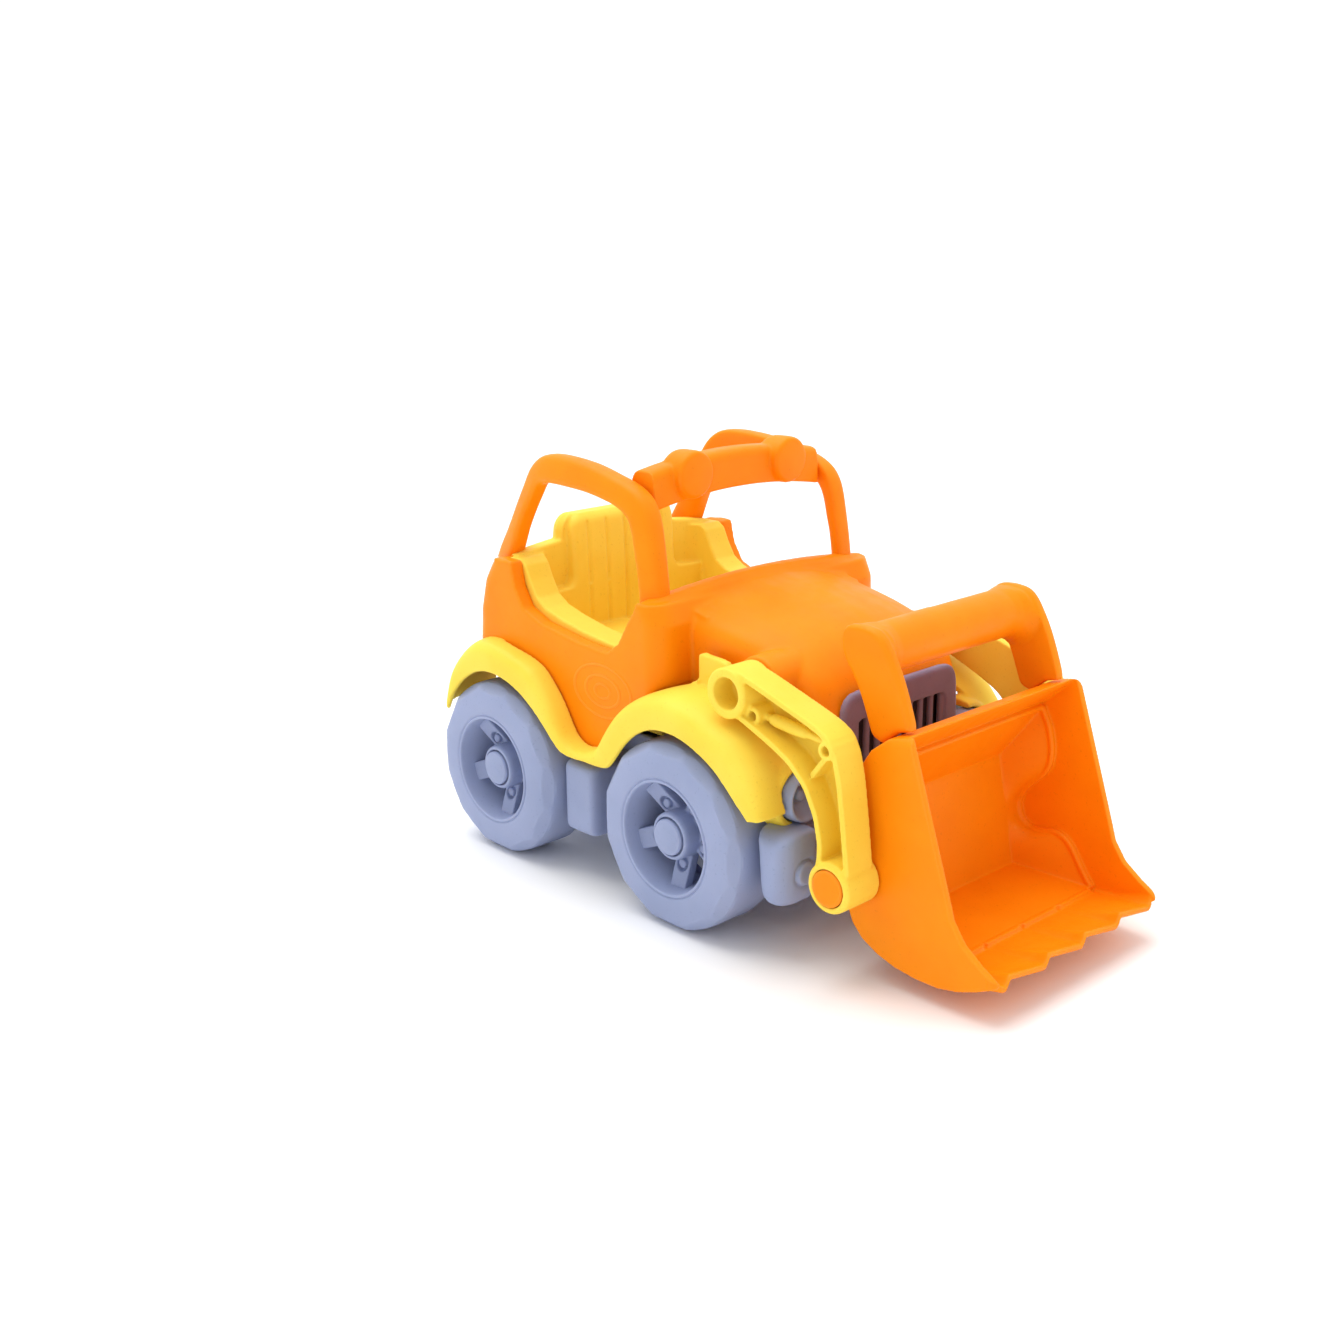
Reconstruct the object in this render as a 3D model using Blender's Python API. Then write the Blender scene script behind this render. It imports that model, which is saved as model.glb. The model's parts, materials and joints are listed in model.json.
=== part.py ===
"""Toy front loader: body shell with roll cage, cab tub, fenders, chassis, four wheels, lift arms and a scoop.

Frame: +X forward, +Y to the vehicle's left, +Z up, origin on the ground under the middle of the overall length.
Sizes below are millimetres; every mesh is written in metres. The vehicle's right side has negative Y.
"""
import bmesh
import bpy
from math import cos, hypot, pi, radians, sin

MM = 0.001
GAP = 0.3                      # clearance between pieces that touch
WALL = 2.6                     # moulded wall thickness

# wheels and axles
TYRE_R, TYRE_OUT, TYRE_IN = 35.5, 73.3, 45.6
RIM_R, HUB_R, CAP_R, AXLE_R = 21.7, 9.0, 6.8, 3.2
AXLE_Z = TYRE_R
FRONT_X, REAR_X = 4.8, -97.4
AXLE_END = 66.0

# body
SIDE_Y = 61.6                  # half width of the cab sides
HOOP_LEAN, HOOP_THICK = 3.0, 8.0   # the outer edge of a hoop leans inwards
FENDER_Y = 72.0
CHASSIS_Y = 41.0
BASE_Y = 43.6                  # half width of the hood's foot, between the front wheels
REAR_SKIRT_Z = 57.5            # lower edge of the rear wall, just above the chassis
TUB_REAR, TUB_IN = -103.2, 43.5
SEAT_Y, SHELF_Z = 28.0, 99.5

# loader
PIVOT = (29.0, 93.8)           # lift axis, x and z
PIN = (76.6, 36.9)             # scoop axis, x and z
TUBE_R, BORE_R, SHAFT_R = 9.0, 5.75, 5.3
SHAFT_GAP = 0.5
ARM_IN, ARM_OUT = 52.0, 66.0
PIN_R, PIN_END = 7.0, 67.4
SCOOP_Y = 49.0
HANDLE_BAR = (69.5, 111.4)     # middle of the carry handle, x and z
HANDLE_R = 9.0

COLOURS = {
    "orange": ((1.0, 0.27, 0.02), 0.42),
    "yellow": ((1.0, 0.72, 0.08), 0.42),
    "grey": ((0.40, 0.43, 0.58), 0.5),
    "dark_grey": ((0.34, 0.32, 0.42), 0.5),
}


def material(name):
    found = bpy.data.materials.new(name)
    found.use_nodes = True
    shader = found.node_tree.nodes["Principled BSDF"]
    colour, roughness = COLOURS[name.split(".")[0]]
    shader.inputs["Base Color"].default_value = (*colour, 1.0)
    shader.inputs["Roughness"].default_value = roughness
    shader.inputs["Metallic"].default_value = 0.0
    found.diffuse_color = (*colour, 1.0)
    return found


def pivot(name, x, z):
    """An empty on a turning axis; the pieces that turn are its children."""
    empty = bpy.data.objects.new(name, None)
    empty.location = (x * MM, 0.0, z * MM)
    bpy.context.scene.collection.objects.link(empty)
    return empty


def add(name, points, faces, colour, parent=None):
    """A mesh object from points in millimetres in the vehicle's frame; its origin is its parent's place."""
    origin = parent.location if parent else (0.0, 0.0, 0.0)
    mesh = bpy.data.meshes.new(name)
    mesh.from_pydata([tuple(p[i] * MM - origin[i] for i in range(3)) for p in points], [], faces)
    work = bmesh.new()
    work.from_mesh(mesh)
    bmesh.ops.remove_doubles(work, verts=work.verts, dist=1e-6)
    bmesh.ops.recalc_face_normals(work, faces=work.faces)
    work.to_mesh(mesh)
    work.free()
    mesh.validate()
    mesh.shade_smooth()
    mesh.set_sharp_from_angle(angle=radians(35))
    made = bpy.data.objects.new(name, mesh)
    bpy.context.scene.collection.objects.link(made)
    made.parent = parent
    if colour:
        mesh.materials.append(material(colour + "." + name))
    return made


def tool(points, faces, parent=None):
    """A helper solid for a boolean, which isn't part of the model."""
    made = add("tool", points, faces, None, parent)
    made.hide_render = True
    made.display_type = "WIRE"
    return made


def combine(target, shape, operation, parent=None):
    helper = tool(*shape, parent)
    step = target.modifiers.new(operation.title(), "BOOLEAN")
    step.operation = operation
    step.object = helper
    step.solver = "EXACT"


def fuse(target, *shapes, parent=None):
    for shape in shapes:
        combine(target, shape, "UNION", parent)


def cut(target, *shapes, parent=None):
    for shape in shapes:
        combine(target, shape, "DIFFERENCE", parent)


def loft(rings):
    """Points and faces of a closed skin over rings that have the same number of points."""
    count = len(rings[0])
    points = [p for ring in rings for p in ring]
    faces = [tuple(range(count)), tuple(range(len(points) - 1, len(points) - count - 1, -1))]
    for row in range(len(rings) - 1):
        for i in range(count):
            j = (i + 1) % count
            low, high = row * count, (row + 1) * count
            faces.append((low + i, low + j, high + j, high + i))
    return points, faces


def prism(outline, y_low, y_high):
    """An outline in the x-z plane, extruded between two y planes."""
    return loft([[(x, y, z) for x, z in outline] for y in (y_low, y_high)])


def box(x_low, x_high, y_low, y_high, z_low, z_high):
    return prism([(x_low, z_low), (x_high, z_low), (x_high, z_high), (x_low, z_high)], y_low, y_high)


def rounded(corners, radius, steps=3):
    """An outline whose corners are arcs. radius is one number, or one for each corner."""
    count = len(corners)
    radii = radius if hasattr(radius, "__len__") else [radius] * count
    outline = []
    for i, (x, z) in enumerate(corners):
        before, after = corners[i - 1], corners[(i + 1) % count]
        if radii[i] <= 0:
            outline.append((x, z))
            continue
        arms = []
        for other in (before, after):
            length = hypot(other[0] - x, other[1] - z)
            reach = min(radii[i], 0.48 * length) / length
            arms.append((x + (other[0] - x) * reach, z + (other[1] - z) * reach))
        for k in range(steps + 1):
            t = k / steps
            a, b, c = (1 - t) ** 2, 2 * t * (1 - t), t * t
            outline.append((a * arms[0][0] + b * x + c * arms[1][0], a * arms[0][1] + b * z + c * arms[1][1]))
    return outline


def disc(x, z, radius, y_low, y_high, sides=24):
    ring = [(x + radius * cos(2 * pi * i / sides), z + radius * sin(2 * pi * i / sides)) for i in range(sides)]
    return prism(ring, y_low, y_high)


def turned(x, z, profile, sides=32):
    """A solid of revolution about a line along Y. profile is a closed loop of (y, radius)."""
    rings = []
    for i in range(sides):
        a = 2 * pi * i / sides
        rings.append([(x + r * cos(a), y, z + r * sin(a)) for y, r in profile])
    points = [p for ring in rings for p in ring]
    count = len(profile)
    faces = []
    for i in range(sides):
        for k in range(count):
            a, b = i * count, ((i + 1) % sides) * count
            m = (k + 1) % count
            faces.append((a + k, a + m, b + m, b + k))
    return points, faces


def sides():
    return (("right", -1), ("left", 1))


# ---------------------------------------------------------------- wheels

def wheel(name, x, side, parent):
    """Tyre, dished rim and hub collar, moulded in one piece."""
    profile = [
        (TYRE_IN, 25.0), (TYRE_IN + 0.5, 32.5), (TYRE_IN + 4.5, TYRE_R), (TYRE_OUT - 9, TYRE_R),
        (TYRE_OUT - 3.5, 33.4), (TYRE_OUT, 27.5), (TYRE_OUT, RIM_R), (57.5, 19.5), (57.5, HUB_R), (70.3, HUB_R),
        (70.3, CAP_R + GAP), (68.6, CAP_R + GAP), (68.6, AXLE_R + GAP), (49.0, AXLE_R + GAP), (49.0, HUB_R),
        (54.5, 12.0), (54.5, 24.0),
    ]
    return add(name, *turned(x, AXLE_Z, [(side * y, r) for y, r in profile]), "grey", parent)


def hub_cap(name, x, side, parent):
    """Round end cap, snapped on the end of the axle in the middle of the hub."""
    rings = []
    for y, r in ((68.9, CAP_R), (71.0, CAP_R), (71.6, CAP_R - 0.9)):
        rings.append([(x + r * cos(2 * pi * i / 24), side * y, AXLE_Z + r * sin(2 * pi * i / 24)) for i in range(24)])
    return add(name, *loft(rings), "grey", parent)


def axle_set(label, x):
    spin = pivot(label + "_axle_line", x, AXLE_Z)
    add(label + "_axle", *disc(x, AXLE_Z, AXLE_R, -AXLE_END, AXLE_END, 24), "dark_grey", spin)
    for hand, side in sides():
        wheel(label + "_" + hand + "_wheel", x, side, spin)
        hub_cap(label + "_" + hand + "_hub_cap", x, side, spin)


# ---------------------------------------------------------------- body

REAR_EDGE = [(-120.6, 80), (-117.8, 97.8), (-112.6, 110.9), (-107.9, 117.6), (-101.5, 120.5)]
DOOR_EDGE = [
    (-94.5, 119.6), (-92.6, 109.4), (-87.7, 101.7), (-77.2, 98.5), (-54.4, 95.3), (-36.1, 94.4), (-30, 100.9),
    (-25.1, 109), (-19.8, 115.4),
]
COWL_EDGE = [(-13, 115.4), (-9.5, 108), (-9, 86)]
SKIRT_EDGE = [
    (-16.1, 77), (-24.4, 70.7), (-34.2, 59.3), (-39.3, 53.5), (-51.1, 53), (-55.4, 56), (-61.4, 65), (-66.2, 72.2),
    (-72.4, 76.8), (-84.2, 80), (-96.3, 82.3), (-107.4, 83.3),
]
# hood stations: x, half width, height of the edge, height at the middle
HOOD = [
    (-21.5, 45.5, 113.5, 118.5), (-3, 44.7, 111.5, 115.5), (20, 43.3, 107, 111.3), (38, 41, 101.5, 105.5),
    (46.5, 38.5, 95, 98.8), (50.5, 35, 86.5, 89.5),
]
HOOD_BASE = 58.0


def hood_ring(x, half, edge, crown, base, inset=0.0):
    """One cross section of the hood: upright sides, rounded shoulders and a crowned top."""
    half, edge, crown = half - inset, edge - inset, crown - inset
    right = [(min(half, BASE_Y - inset), base), (half, edge - 9)]
    for k in (1, 2, 3):
        a = k * pi / 6
        right.append((half - 9 + 9 * cos(a), edge - 9 + 8 * sin(a)))
    for t in (0.55, 0.25):
        right.append((half * t, edge - 1 + (crown - edge + 1) * (1 - (t / 0.85) ** 2)))
    left = [(-y, z) for y, z in reversed(right)]
    return [(x, y, z) for y, z in right + left]


def body_shell():
    outline = REAR_EDGE + DOOR_EDGE + COWL_EDGE + SKIRT_EDGE
    shell = add("body_shell", *prism(outline, -SIDE_Y, SIDE_Y), "orange")
    fuse(shell, loft([hood_ring(*station, HOOD_BASE) for station in HOOD]))
    fuse(shell, disc(*PIVOT, 10.0, -ARM_IN + 1.8, ARM_IN - 1.8))
    rear_skirt = [(-121.2, REAR_SKIRT_Z), (-118.3, REAR_SKIRT_Z), (-118.3, 84), (-120.8, 84)]
    fuse(shell, prism(rear_skirt, -CHASSIS_Y, CHASSIS_Y))
    inside = SIDE_Y - WALL
    cut(shell, box(TUB_REAR - GAP, -24.0, -inside, inside, 40, 130))
    trunk = [(-118, 50), (-118, 84), (-115.2, 97), (-110.3, 109.2), (-106, 115.2), (-102, 116.2), (-102, 50)]
    cut(shell, prism(trunk, -inside, inside))
    cut(shell, box(-21.4, -12.2, -inside, inside, 40, 110))
    hollow = [(x if x < 40 else x - 2.6, half, edge, crown) for x, half, edge, crown in HOOD[1:]]
    hollow = [(-21.4, 45.5, 113, 117)] + hollow
    cut(shell, loft([hood_ring(*station, 40.0, WALL) for station in hollow]))
    cut(shell, disc(*PIVOT, SHAFT_R + SHAFT_GAP, -60, 60))


# hoop stations: x and z of the outer edge, x and z of the inner edge, distance from the middle
HOOP = [
    (-116.2, 121.3, -103.4, 121.3, 48.6), (-110.6, 129.5, -99.6, 130.5, 48.6), (-104.8, 139.4, -94.6, 139, 48.6),
    (-98.6, 149.2, -89.6, 146, 48.8), (-93.5, 156.5, -86.5, 149.6, 49.1), (-87.5, 160.8, -82.5, 151.2, 49.4),
    (-80.5, 162.3, -77, 151.6, 49.7), (-69.7, 162.3, -69.3, 151.5, 50), (-56.2, 161, -57, 150.9, 50.2),
    (-43.5, 158.3, -45.5, 149.2, 50.4), (-33.5, 155.6, -38, 147.3, 50.5), (-26.6, 151.6, -32.8, 144.2, 50.6),
    (-22.8, 145.8, -30.2, 139.2, 50.8), (-20.6, 136.5, -28.4, 131.5, 51), (-19.2, 128, -27, 126, 51.2),
    (-17.8, 119.3, -25.8, 119.3, 51.4),
]


def hoop(name, side):
    """One side frame of the roll cage: rear leg, top rail and front pillar, with rounded corners all along."""
    corners = [(-1, -0.6), (-0.7, -1), (0.7, -1), (1, -0.6), (1, 0.6), (0.7, 1), (-0.7, 1), (-1, 0.6)]
    rings = []
    for x_out, z_out, x_in, z_in, y in HOOP:
        rings.append([((x_out + x_in) / 2 + (x_out - x_in) / 2 * n, side * (y - HOOP_LEAN * n + HOOP_THICK / 2 * t),
                       (z_out + z_in) / 2 + (z_out - z_in) / 2 * n) for n, t in corners])
    add(name, *loft(rings), "orange")


def roof_light_bar():
    """Crowned bar between the two hoops, with two round lamps on its front."""
    rings = []
    section = rounded([(-41, -7.2), (-41, 7.2), (-29, 7.2), (-29, -7.2)], [2.5, 5, 5, 1.5], 3)
    for k in range(9):
        y = -42.0 + 10.5 * k
        rings.append([(x, y, z + 157.1 - 3.7 * (y / 42.0) ** 2) for x, z in section])
    bar = add("roof_light_bar", *loft(rings), "orange")
    for side in (-1, 1):
        lamp = []
        for x, r in ((-38, 8.2), (-36, 9.2), (-25.5, 9.2), (-24.2, 8.2)):
            lamp.append([(x, side * 26.1 + r * cos(2 * pi * i / 20), 157.6 + r * sin(2 * pi * i / 20))
                         for i in range(20)])
        fuse(bar, loft(lamp))


def cab_tub():
    """Inner tub that drops into the cab: broad rim, footwell, a shelf on each side, seat cushion and seat back."""
    rear, front, out = TUB_REAR, -24.3, SIDE_Y - WALL - 0.4
    rim = [(rear, 119.4), (-94.8, 119.6), (-90.6, 112), (-86.6, 105.6), (-81, 102.2), (-71.3, 99.6),
           (-58.6, 97.3), (-40.2, 95.2), (-33, 101), (-27.5, 110), (front, 112.5)]
    under = [(front, 61), (-71.5, 61), (-71.5, 76), (rear, 76)]
    tub = add("cab_tub", *prism(rim + under, -out, out), "yellow")
    cut(tub, box(-69, front - 2.4, -TUB_IN, TUB_IN, 63.5, 140))
    cut(tub, box(rear + 2.4, -66, -TUB_IN, TUB_IN, SHELF_Z, 140))
    cut(tub, box(rear + 2.4, -66, -SEAT_Y - 1, SEAT_Y + 1, 78.5, 140))
    below = [(x, z - 2.6) for x, z in rim[1:-1]]
    below = [(rear - 5, 116.8)] + below + [(front + 5, 109.9), (front + 5, 50), (rear - 5, 50)]
    for side in (-1, 1):
        cut(tub, prism(below, *sorted((side * (TUB_IN + 2.6), side * 62))))
        cut(tub, box(rear + 2.4, -71.4, *sorted((side * (SEAT_Y + 3.4), side * (TUB_IN - 2.4))), 70, SHELF_Z - 2.4))
    fuse(tub, box(-98, -67, 2 - SEAT_Y, SEAT_Y - 2, 77, 86))
    cut(tub, box(-94, -69.4, 4.4 - SEAT_Y, SEAT_Y - 4.4, 70, 83.6))
    back = []
    for x_low, x_high, z in ((-102.6, -95.6, 77), (-102.8, -97.2, 108), (-103, -98.9, 124), (-102.8, -99.6, 131),
                             (-102.2, -100.2, 134.6)):
        half = {131: 31.0, 134.6: 26.0}.get(z, SEAT_Y if z < 119 else 32.0)
        back.append([(x_low, -half, z), (x_high, -half, z), (x_high, half, z), (x_low, half, z)])
    fuse(tub, loft(back))


# fender stations: x and z of the outer arch edge, then x, half width and z where the top meets the body
FENDER = [
    (-128.5, 54, -129.5, 62.2, 60), (-124, 62, -127, 62.2, 71.5), (-117, 69, -121, 62.2, 80),
    (-107, 74.6, -110, 62.2, 86.5), (-97.4, 76, -97.4, 62.2, 86.8), (-87, 74.6, -84.5, 62.2, 84.5),
    (-77.4, 70.9, -73.5, 62.2, 81), (-66.5, 63.4, -62, 62.2, 69.5), (-58.5, 56.2, -55, 62.2, 59),
    (-53.5, 53.1, -50.5, 62.2, 56), (-41, 53, -43.5, 62.2, 56), (-29.5, 53.3, -36.8, 62.2, 58.5),
    (-25.3, 56.2, -32, 62.2, 65.5), (-19.2, 63.8, -26, 62.2, 73.5), (-12.1, 70.4, -18, 62.2, 80.5),
    (-4.1, 74.4, -8.5, 61.9, 85.8), (4.8, 75.6, 2, 56, 88.3), (12.5, 74.8, 13, 49, 87.2),
    (20.5, 72.2, 24, 47, 83.2), (29.5, 67.5, 35, 48, 79.5), (37, 61, 43.5, 54, 71.5),
    (42, 56.5, 49, 58.5, 62), (45.5, 53.3, 51.5, 58.5, 54.2),
]


def fender(name, side):
    """Wave-shaped guard over both wheels of one side; its section is an upright lip that rolls into a broad top."""
    shape = ((0, 0, 0), (0.45, 0, 0.15), (0.72, 0.06, 0.7), (0.9, 0.2, 1.1), (0.98, 0.42, 1.4), (1, 1, 1.57))
    rings = []
    for x_lip, z_lip, x_top, y_top, z_top in FENDER:
        outside, inside = [], []
        for up, over, turn in shape:
            x, z = x_lip + (x_top - x_lip) * up, z_lip + (z_top - z_lip) * up
            y = FENDER_Y - (FENDER_Y - y_top) * over
            outside.append((x, side * y, z))
            steep = 2.4 * sin(turn)
            length = hypot(x_top - x_lip, z_top - z_lip)
            inside.append((x - (x_top - x_lip) / length * steep, side * max(y - 2.4 * cos(turn), y_top),
                           z - (z_top - z_lip) / length * steep))
        rings.append(outside + inside[::-1])
    made = add(name, *loft(rings), "yellow")
    stop = rounded([(0.8, 84), (0.8, 99.8), (17, 99.8), (17, 84)], [0, 2, 2, 0])
    fuse(made, prism(stop, *sorted((side * 48, side * 51.4))))


# grille slots: how many, distance between them, half width
SLOTS, SLOT_STEP, SLOT_HALF = 8, 6.0, 1.7


def grille():
    """Radiator grille with upright slats, set on the front of the hood."""
    frame = []
    for x, inset in ((50.8, 0), (52.6, 0), (53.6, 1.2)):
        ring = rounded([(34 - inset, 48), (31.5 - inset, 90.5 - inset), (inset - 31.5, 90.5 - inset), (inset - 34, 48)],
                       [0, 7, 7, 0])
        frame.append([(x, y, z) for y, z in ring])
    made = add("grille", *loft(frame), "dark_grey")
    for k in range(SLOTS):
        y = SLOT_STEP * (k - (SLOTS - 1) / 2)
        cut(made, box(48, 56, y - SLOT_HALF, y + SLOT_HALF, 54, 80))


def headlight(name, side):
    """Round lamp cup beside the hood, facing forward."""
    rings = []
    for x, r in ((41.5, 7.5), (44, 8.6), (51.5, 8.6), (52.5, 7.8), (51.0, 6.6), (49.5, 5.0)):
        rings.append([(x, side * 48.4 + r * cos(2 * pi * i / 20), 58.6 + r * sin(2 * pi * i / 20)) for i in range(20)])
    add(name, *loft(rings), "grey")


def chassis():
    """Floor pan that carries both axles, open at the top under the body."""
    pan = add("chassis", *prism(rounded([(-118, 24), (-112, 20), (34, 20), (41, 26), (41, 56), (-118, 56)], 2),
                                -CHASSIS_Y, CHASSIS_Y), "grey")
    cut(pan, box(-115.4, 38.4, WALL - CHASSIS_Y, CHASSIS_Y - WALL, 22.8, 70))
    for x in (FRONT_X, REAR_X):
        cut(pan, disc(x, AXLE_Z, AXLE_R + 0.4, -60, 60, 24))


def step(name, side):
    """Side step between the wheels."""
    rings = []
    for y, inset in ((CHASSIS_Y + GAP, 0), (63.5, 0), (65.4, 0.8), (66.2, 2.2)):
        ring = rounded([(-59.5 + inset, 19 + inset), (-42.5 - inset, 19 + inset), (-42.5 - inset, 48 - inset),
                        (-59.5 + inset, 48 - inset)], 3)
        rings.append([(x, side * y, z) for x, z in ring])
    add(name, *loft(rings), "grey")


def front_bumper():
    """Bumper bar across the nose with a large block at each corner, in front of the tyres."""
    bar = add("front_bumper", *prism(rounded([(41.3, 24), (45, 22), (46, 44), (41.3, 46)], 1), -52, 52), "grey")
    for side in (-1, 1):
        rings = []
        for y, inset in ((51.2, 0), (63.5, 0), (65.6, 0.8), (66.4, 2.4)):
            ring = rounded([(42.8 + inset, 22 + inset), (48 - inset, 19 + inset), (56.5 - inset, 24 + inset),
                            (57.5 - inset, 48.6 - inset), (42.8 + inset, 48.6 - inset)], [1.5, 4, 6, 3, 2.5])
            rings.append([(x, side * y, z) for x, z in ring])
        fuse(bar, loft(rings))


# ---------------------------------------------------------------- loader

ARM_TOP = [(29, 102.8), (33.5, 102), (52.3, 96.5), (70, 91.3), (77.3, 85.5), (80.5, 74), (82.5, 60), (84.5, 44)]
ARM_UNDER = [(70, 40), (70.5, 48), (68.6, 58), (64, 68.5), (57, 75), (43, 81.3), (32, 85.4), (24, 88)]


def inset_outline(outline, distance):
    """The outline moved inward by a distance, corner by corner; the outline runs clockwise."""
    moved = []
    count = len(outline)
    for i, (x, z) in enumerate(outline):
        before, after = outline[i - 1], outline[(i + 1) % count]
        normals = []
        for a, b in ((before, (x, z)), ((x, z), after)):
            length = hypot(b[0] - a[0], b[1] - a[1])
            normals.append(((b[1] - a[1]) / length, -(b[0] - a[0]) / length))
        nx, nz = normals[0][0] + normals[1][0], normals[0][1] + normals[1][1]
        scale = distance / max(0.5 * (nx * nx + nz * nz), 0.3)
        moved.append((x + nx * scale, z + nz * scale))
    return moved


def arm(name, side, parent):
    """Lift arm: a channel section, open outward, between a hollow pivot tube and the scoop boss."""
    outline = ARM_TOP + ARM_UNDER
    made = add(name, *prism(outline, *sorted((side * ARM_IN, side * (ARM_OUT - 1.5)))), "yellow", parent)
    pocket = inset_outline(outline, 2.5)
    cut(made, prism(pocket, *sorted((side * (ARM_IN + 2.4), side * 80))), parent=parent)
    for centre, inner in ((PIVOT, ARM_IN - 1.4), (PIN, ARM_IN - 1.0)):
        fuse(made, disc(*centre, TUBE_R, *sorted((side * inner, side * ARM_OUT))), parent=parent)
    for centre, r in ((PIVOT, BORE_R), (PIN, PIN_R + GAP)):
        cut(made, disc(*centre, r, *sorted((side * 40, side * 90))), parent=parent)


SCOOP_SIDE = [
    (95.4, 89.5), (86.5, 87.3), (79.5, 81.5), (71.8, 70), (67.3, 58), (67.8, 44), (70.3, 27), (72.5, 20), (77, 14), (87, 8.8),
    (98, 6.2), (110, 6.6), (122, 9.8), (132.9, 14.6), (132.4, 17), (122, 22.5), (113.5, 33.5),
]
SCOOP_HOLLOW = [
    (105, 92), (92.5, 85.2), (82.5, 77.6), (74.6, 68.6), (70, 57.4), (78.4, 16), (88, 12.2),
    (98, 9.6), (110, 9.8), (121, 12.6), (132, 16.6), (140, 26),
]


def scoop(parent):
    made = add("scoop", *prism(SCOOP_SIDE, -SCOOP_Y, SCOOP_Y), "orange", parent)
    cut(made, prism(SCOOP_HOLLOW, WALL - SCOOP_Y, SCOOP_Y - WALL), parent=parent)
    for hand, side in sides():
        low, high = sorted((side * (SCOOP_Y + GAP), side * PIN_END))
        add(hand + "_scoop_pin", *disc(*PIN, PIN_R, low, high), "orange", parent)


def scoop_handle(parent):
    """Carry handle: a round bar on two uprights that stand on the back of the scoop."""
    made = add("scoop_handle", *disc(*HANDLE_BAR, HANDLE_R, -42, 42, 28), "orange", parent)
    upright = rounded(
        [(79.9, 82.9), (75.4, 84.4), (69, 100.7), (61, 112), (61.8, 120.2), (70, 121.4), (77.8, 120), (83.6, 111),
         (87.4, 103), (91.4, 92), (91.6, 89.3), (86.2, 88)],
        [0, 1, 6, 6, 5, 6, 6, 8, 6, 1, 0, 0])
    for side in (-1, 1):
        fuse(made, prism(upright, *sorted((side * 39.8, side * 44.2))), parent=parent)


def build():
    for old in list(bpy.data.objects):
        bpy.data.objects.remove(old)
    body_shell()
    cab_tub()
    roof_light_bar()
    grille()
    chassis()
    front_bumper()
    for hand, side in sides():
        hoop(hand + "_roll_hoop", side)
        fender(hand + "_fender", side)
        headlight(hand + "_headlight", side)
        step(hand + "_step", side)
    axle_set("front", FRONT_X)
    axle_set("rear", REAR_X)
    lift = pivot("lift_axis", *PIVOT)
    add("lift_shaft", *disc(*PIVOT, SHAFT_R, -54.5, 54.5, 28), "dark_grey", lift)
    for hand, side in sides():
        arm(hand + "_arm", side, lift)
    tilt = pivot("scoop_axis", *PIN)
    scoop(tilt)
    scoop_handle(tilt)


build()
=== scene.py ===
"""Looks of the toy front loader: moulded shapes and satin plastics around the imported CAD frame.

Lengths are millimetres in the vehicle's frame (+X forward, +Y left, +Z up); raw() writes meshes in metres.
Shapes are made for the right side (negative Y) and mirrored for the left.
"""

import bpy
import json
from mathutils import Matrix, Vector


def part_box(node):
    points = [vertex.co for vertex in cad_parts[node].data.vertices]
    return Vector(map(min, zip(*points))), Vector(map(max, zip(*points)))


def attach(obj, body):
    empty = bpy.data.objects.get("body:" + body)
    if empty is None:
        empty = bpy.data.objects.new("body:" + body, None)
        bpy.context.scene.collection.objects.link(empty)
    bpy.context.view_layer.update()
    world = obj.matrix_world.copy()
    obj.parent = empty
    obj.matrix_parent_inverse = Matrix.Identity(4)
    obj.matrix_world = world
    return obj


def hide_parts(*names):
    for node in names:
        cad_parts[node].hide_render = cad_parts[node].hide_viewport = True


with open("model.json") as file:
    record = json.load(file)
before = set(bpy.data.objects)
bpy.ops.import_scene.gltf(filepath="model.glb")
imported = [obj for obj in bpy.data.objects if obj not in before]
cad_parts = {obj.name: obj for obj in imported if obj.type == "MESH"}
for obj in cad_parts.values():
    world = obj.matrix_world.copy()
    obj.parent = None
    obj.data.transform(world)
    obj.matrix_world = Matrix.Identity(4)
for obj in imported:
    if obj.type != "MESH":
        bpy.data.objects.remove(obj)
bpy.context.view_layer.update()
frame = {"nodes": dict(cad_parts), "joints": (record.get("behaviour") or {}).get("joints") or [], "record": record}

import json
from math import atan2, cos, hypot, pi, radians, sin

import bmesh
import bpy
from mathutils import Matrix, Vector

MM = 0.001
RECORD = frame["record"]
SLOT_OF = {part["node"]: part["material_slot"] for part in RECORD["subparts"]}
BODY_OF = {node: body for body, nodes in RECORD["behaviour"]["bodies"].items() for node in nodes}
JOINT = {joint["name"]: joint for joint in frame["joints"]}


def joint_xz(name):
    x, _, z = JOINT[name]["pos_m"]
    return x / MM, z / MM


# main places, read from the frame; GAP is the play between pieces
FRONT_X, AXLE_Z = joint_xz("front_axle_spin")
REAR_X = joint_xz("rear_axle_spin")[0]
PIVOT = joint_xz("arm_lift")
PIN = joint_xz("scoop_tilt")
WHEEL_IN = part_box("front_left_wheel")[0][1] / MM
WHEEL_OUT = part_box("front_left_wheel")[1][1] / MM
TYRE_R = AXLE_Z
SIDE_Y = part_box("body_shell")[1][1] / MM
CHASSIS_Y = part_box("chassis")[1][1] / MM
SCOOP_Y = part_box("scoop")[1][1] / MM
GAP = 0.3


# ---- curves and solids

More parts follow.
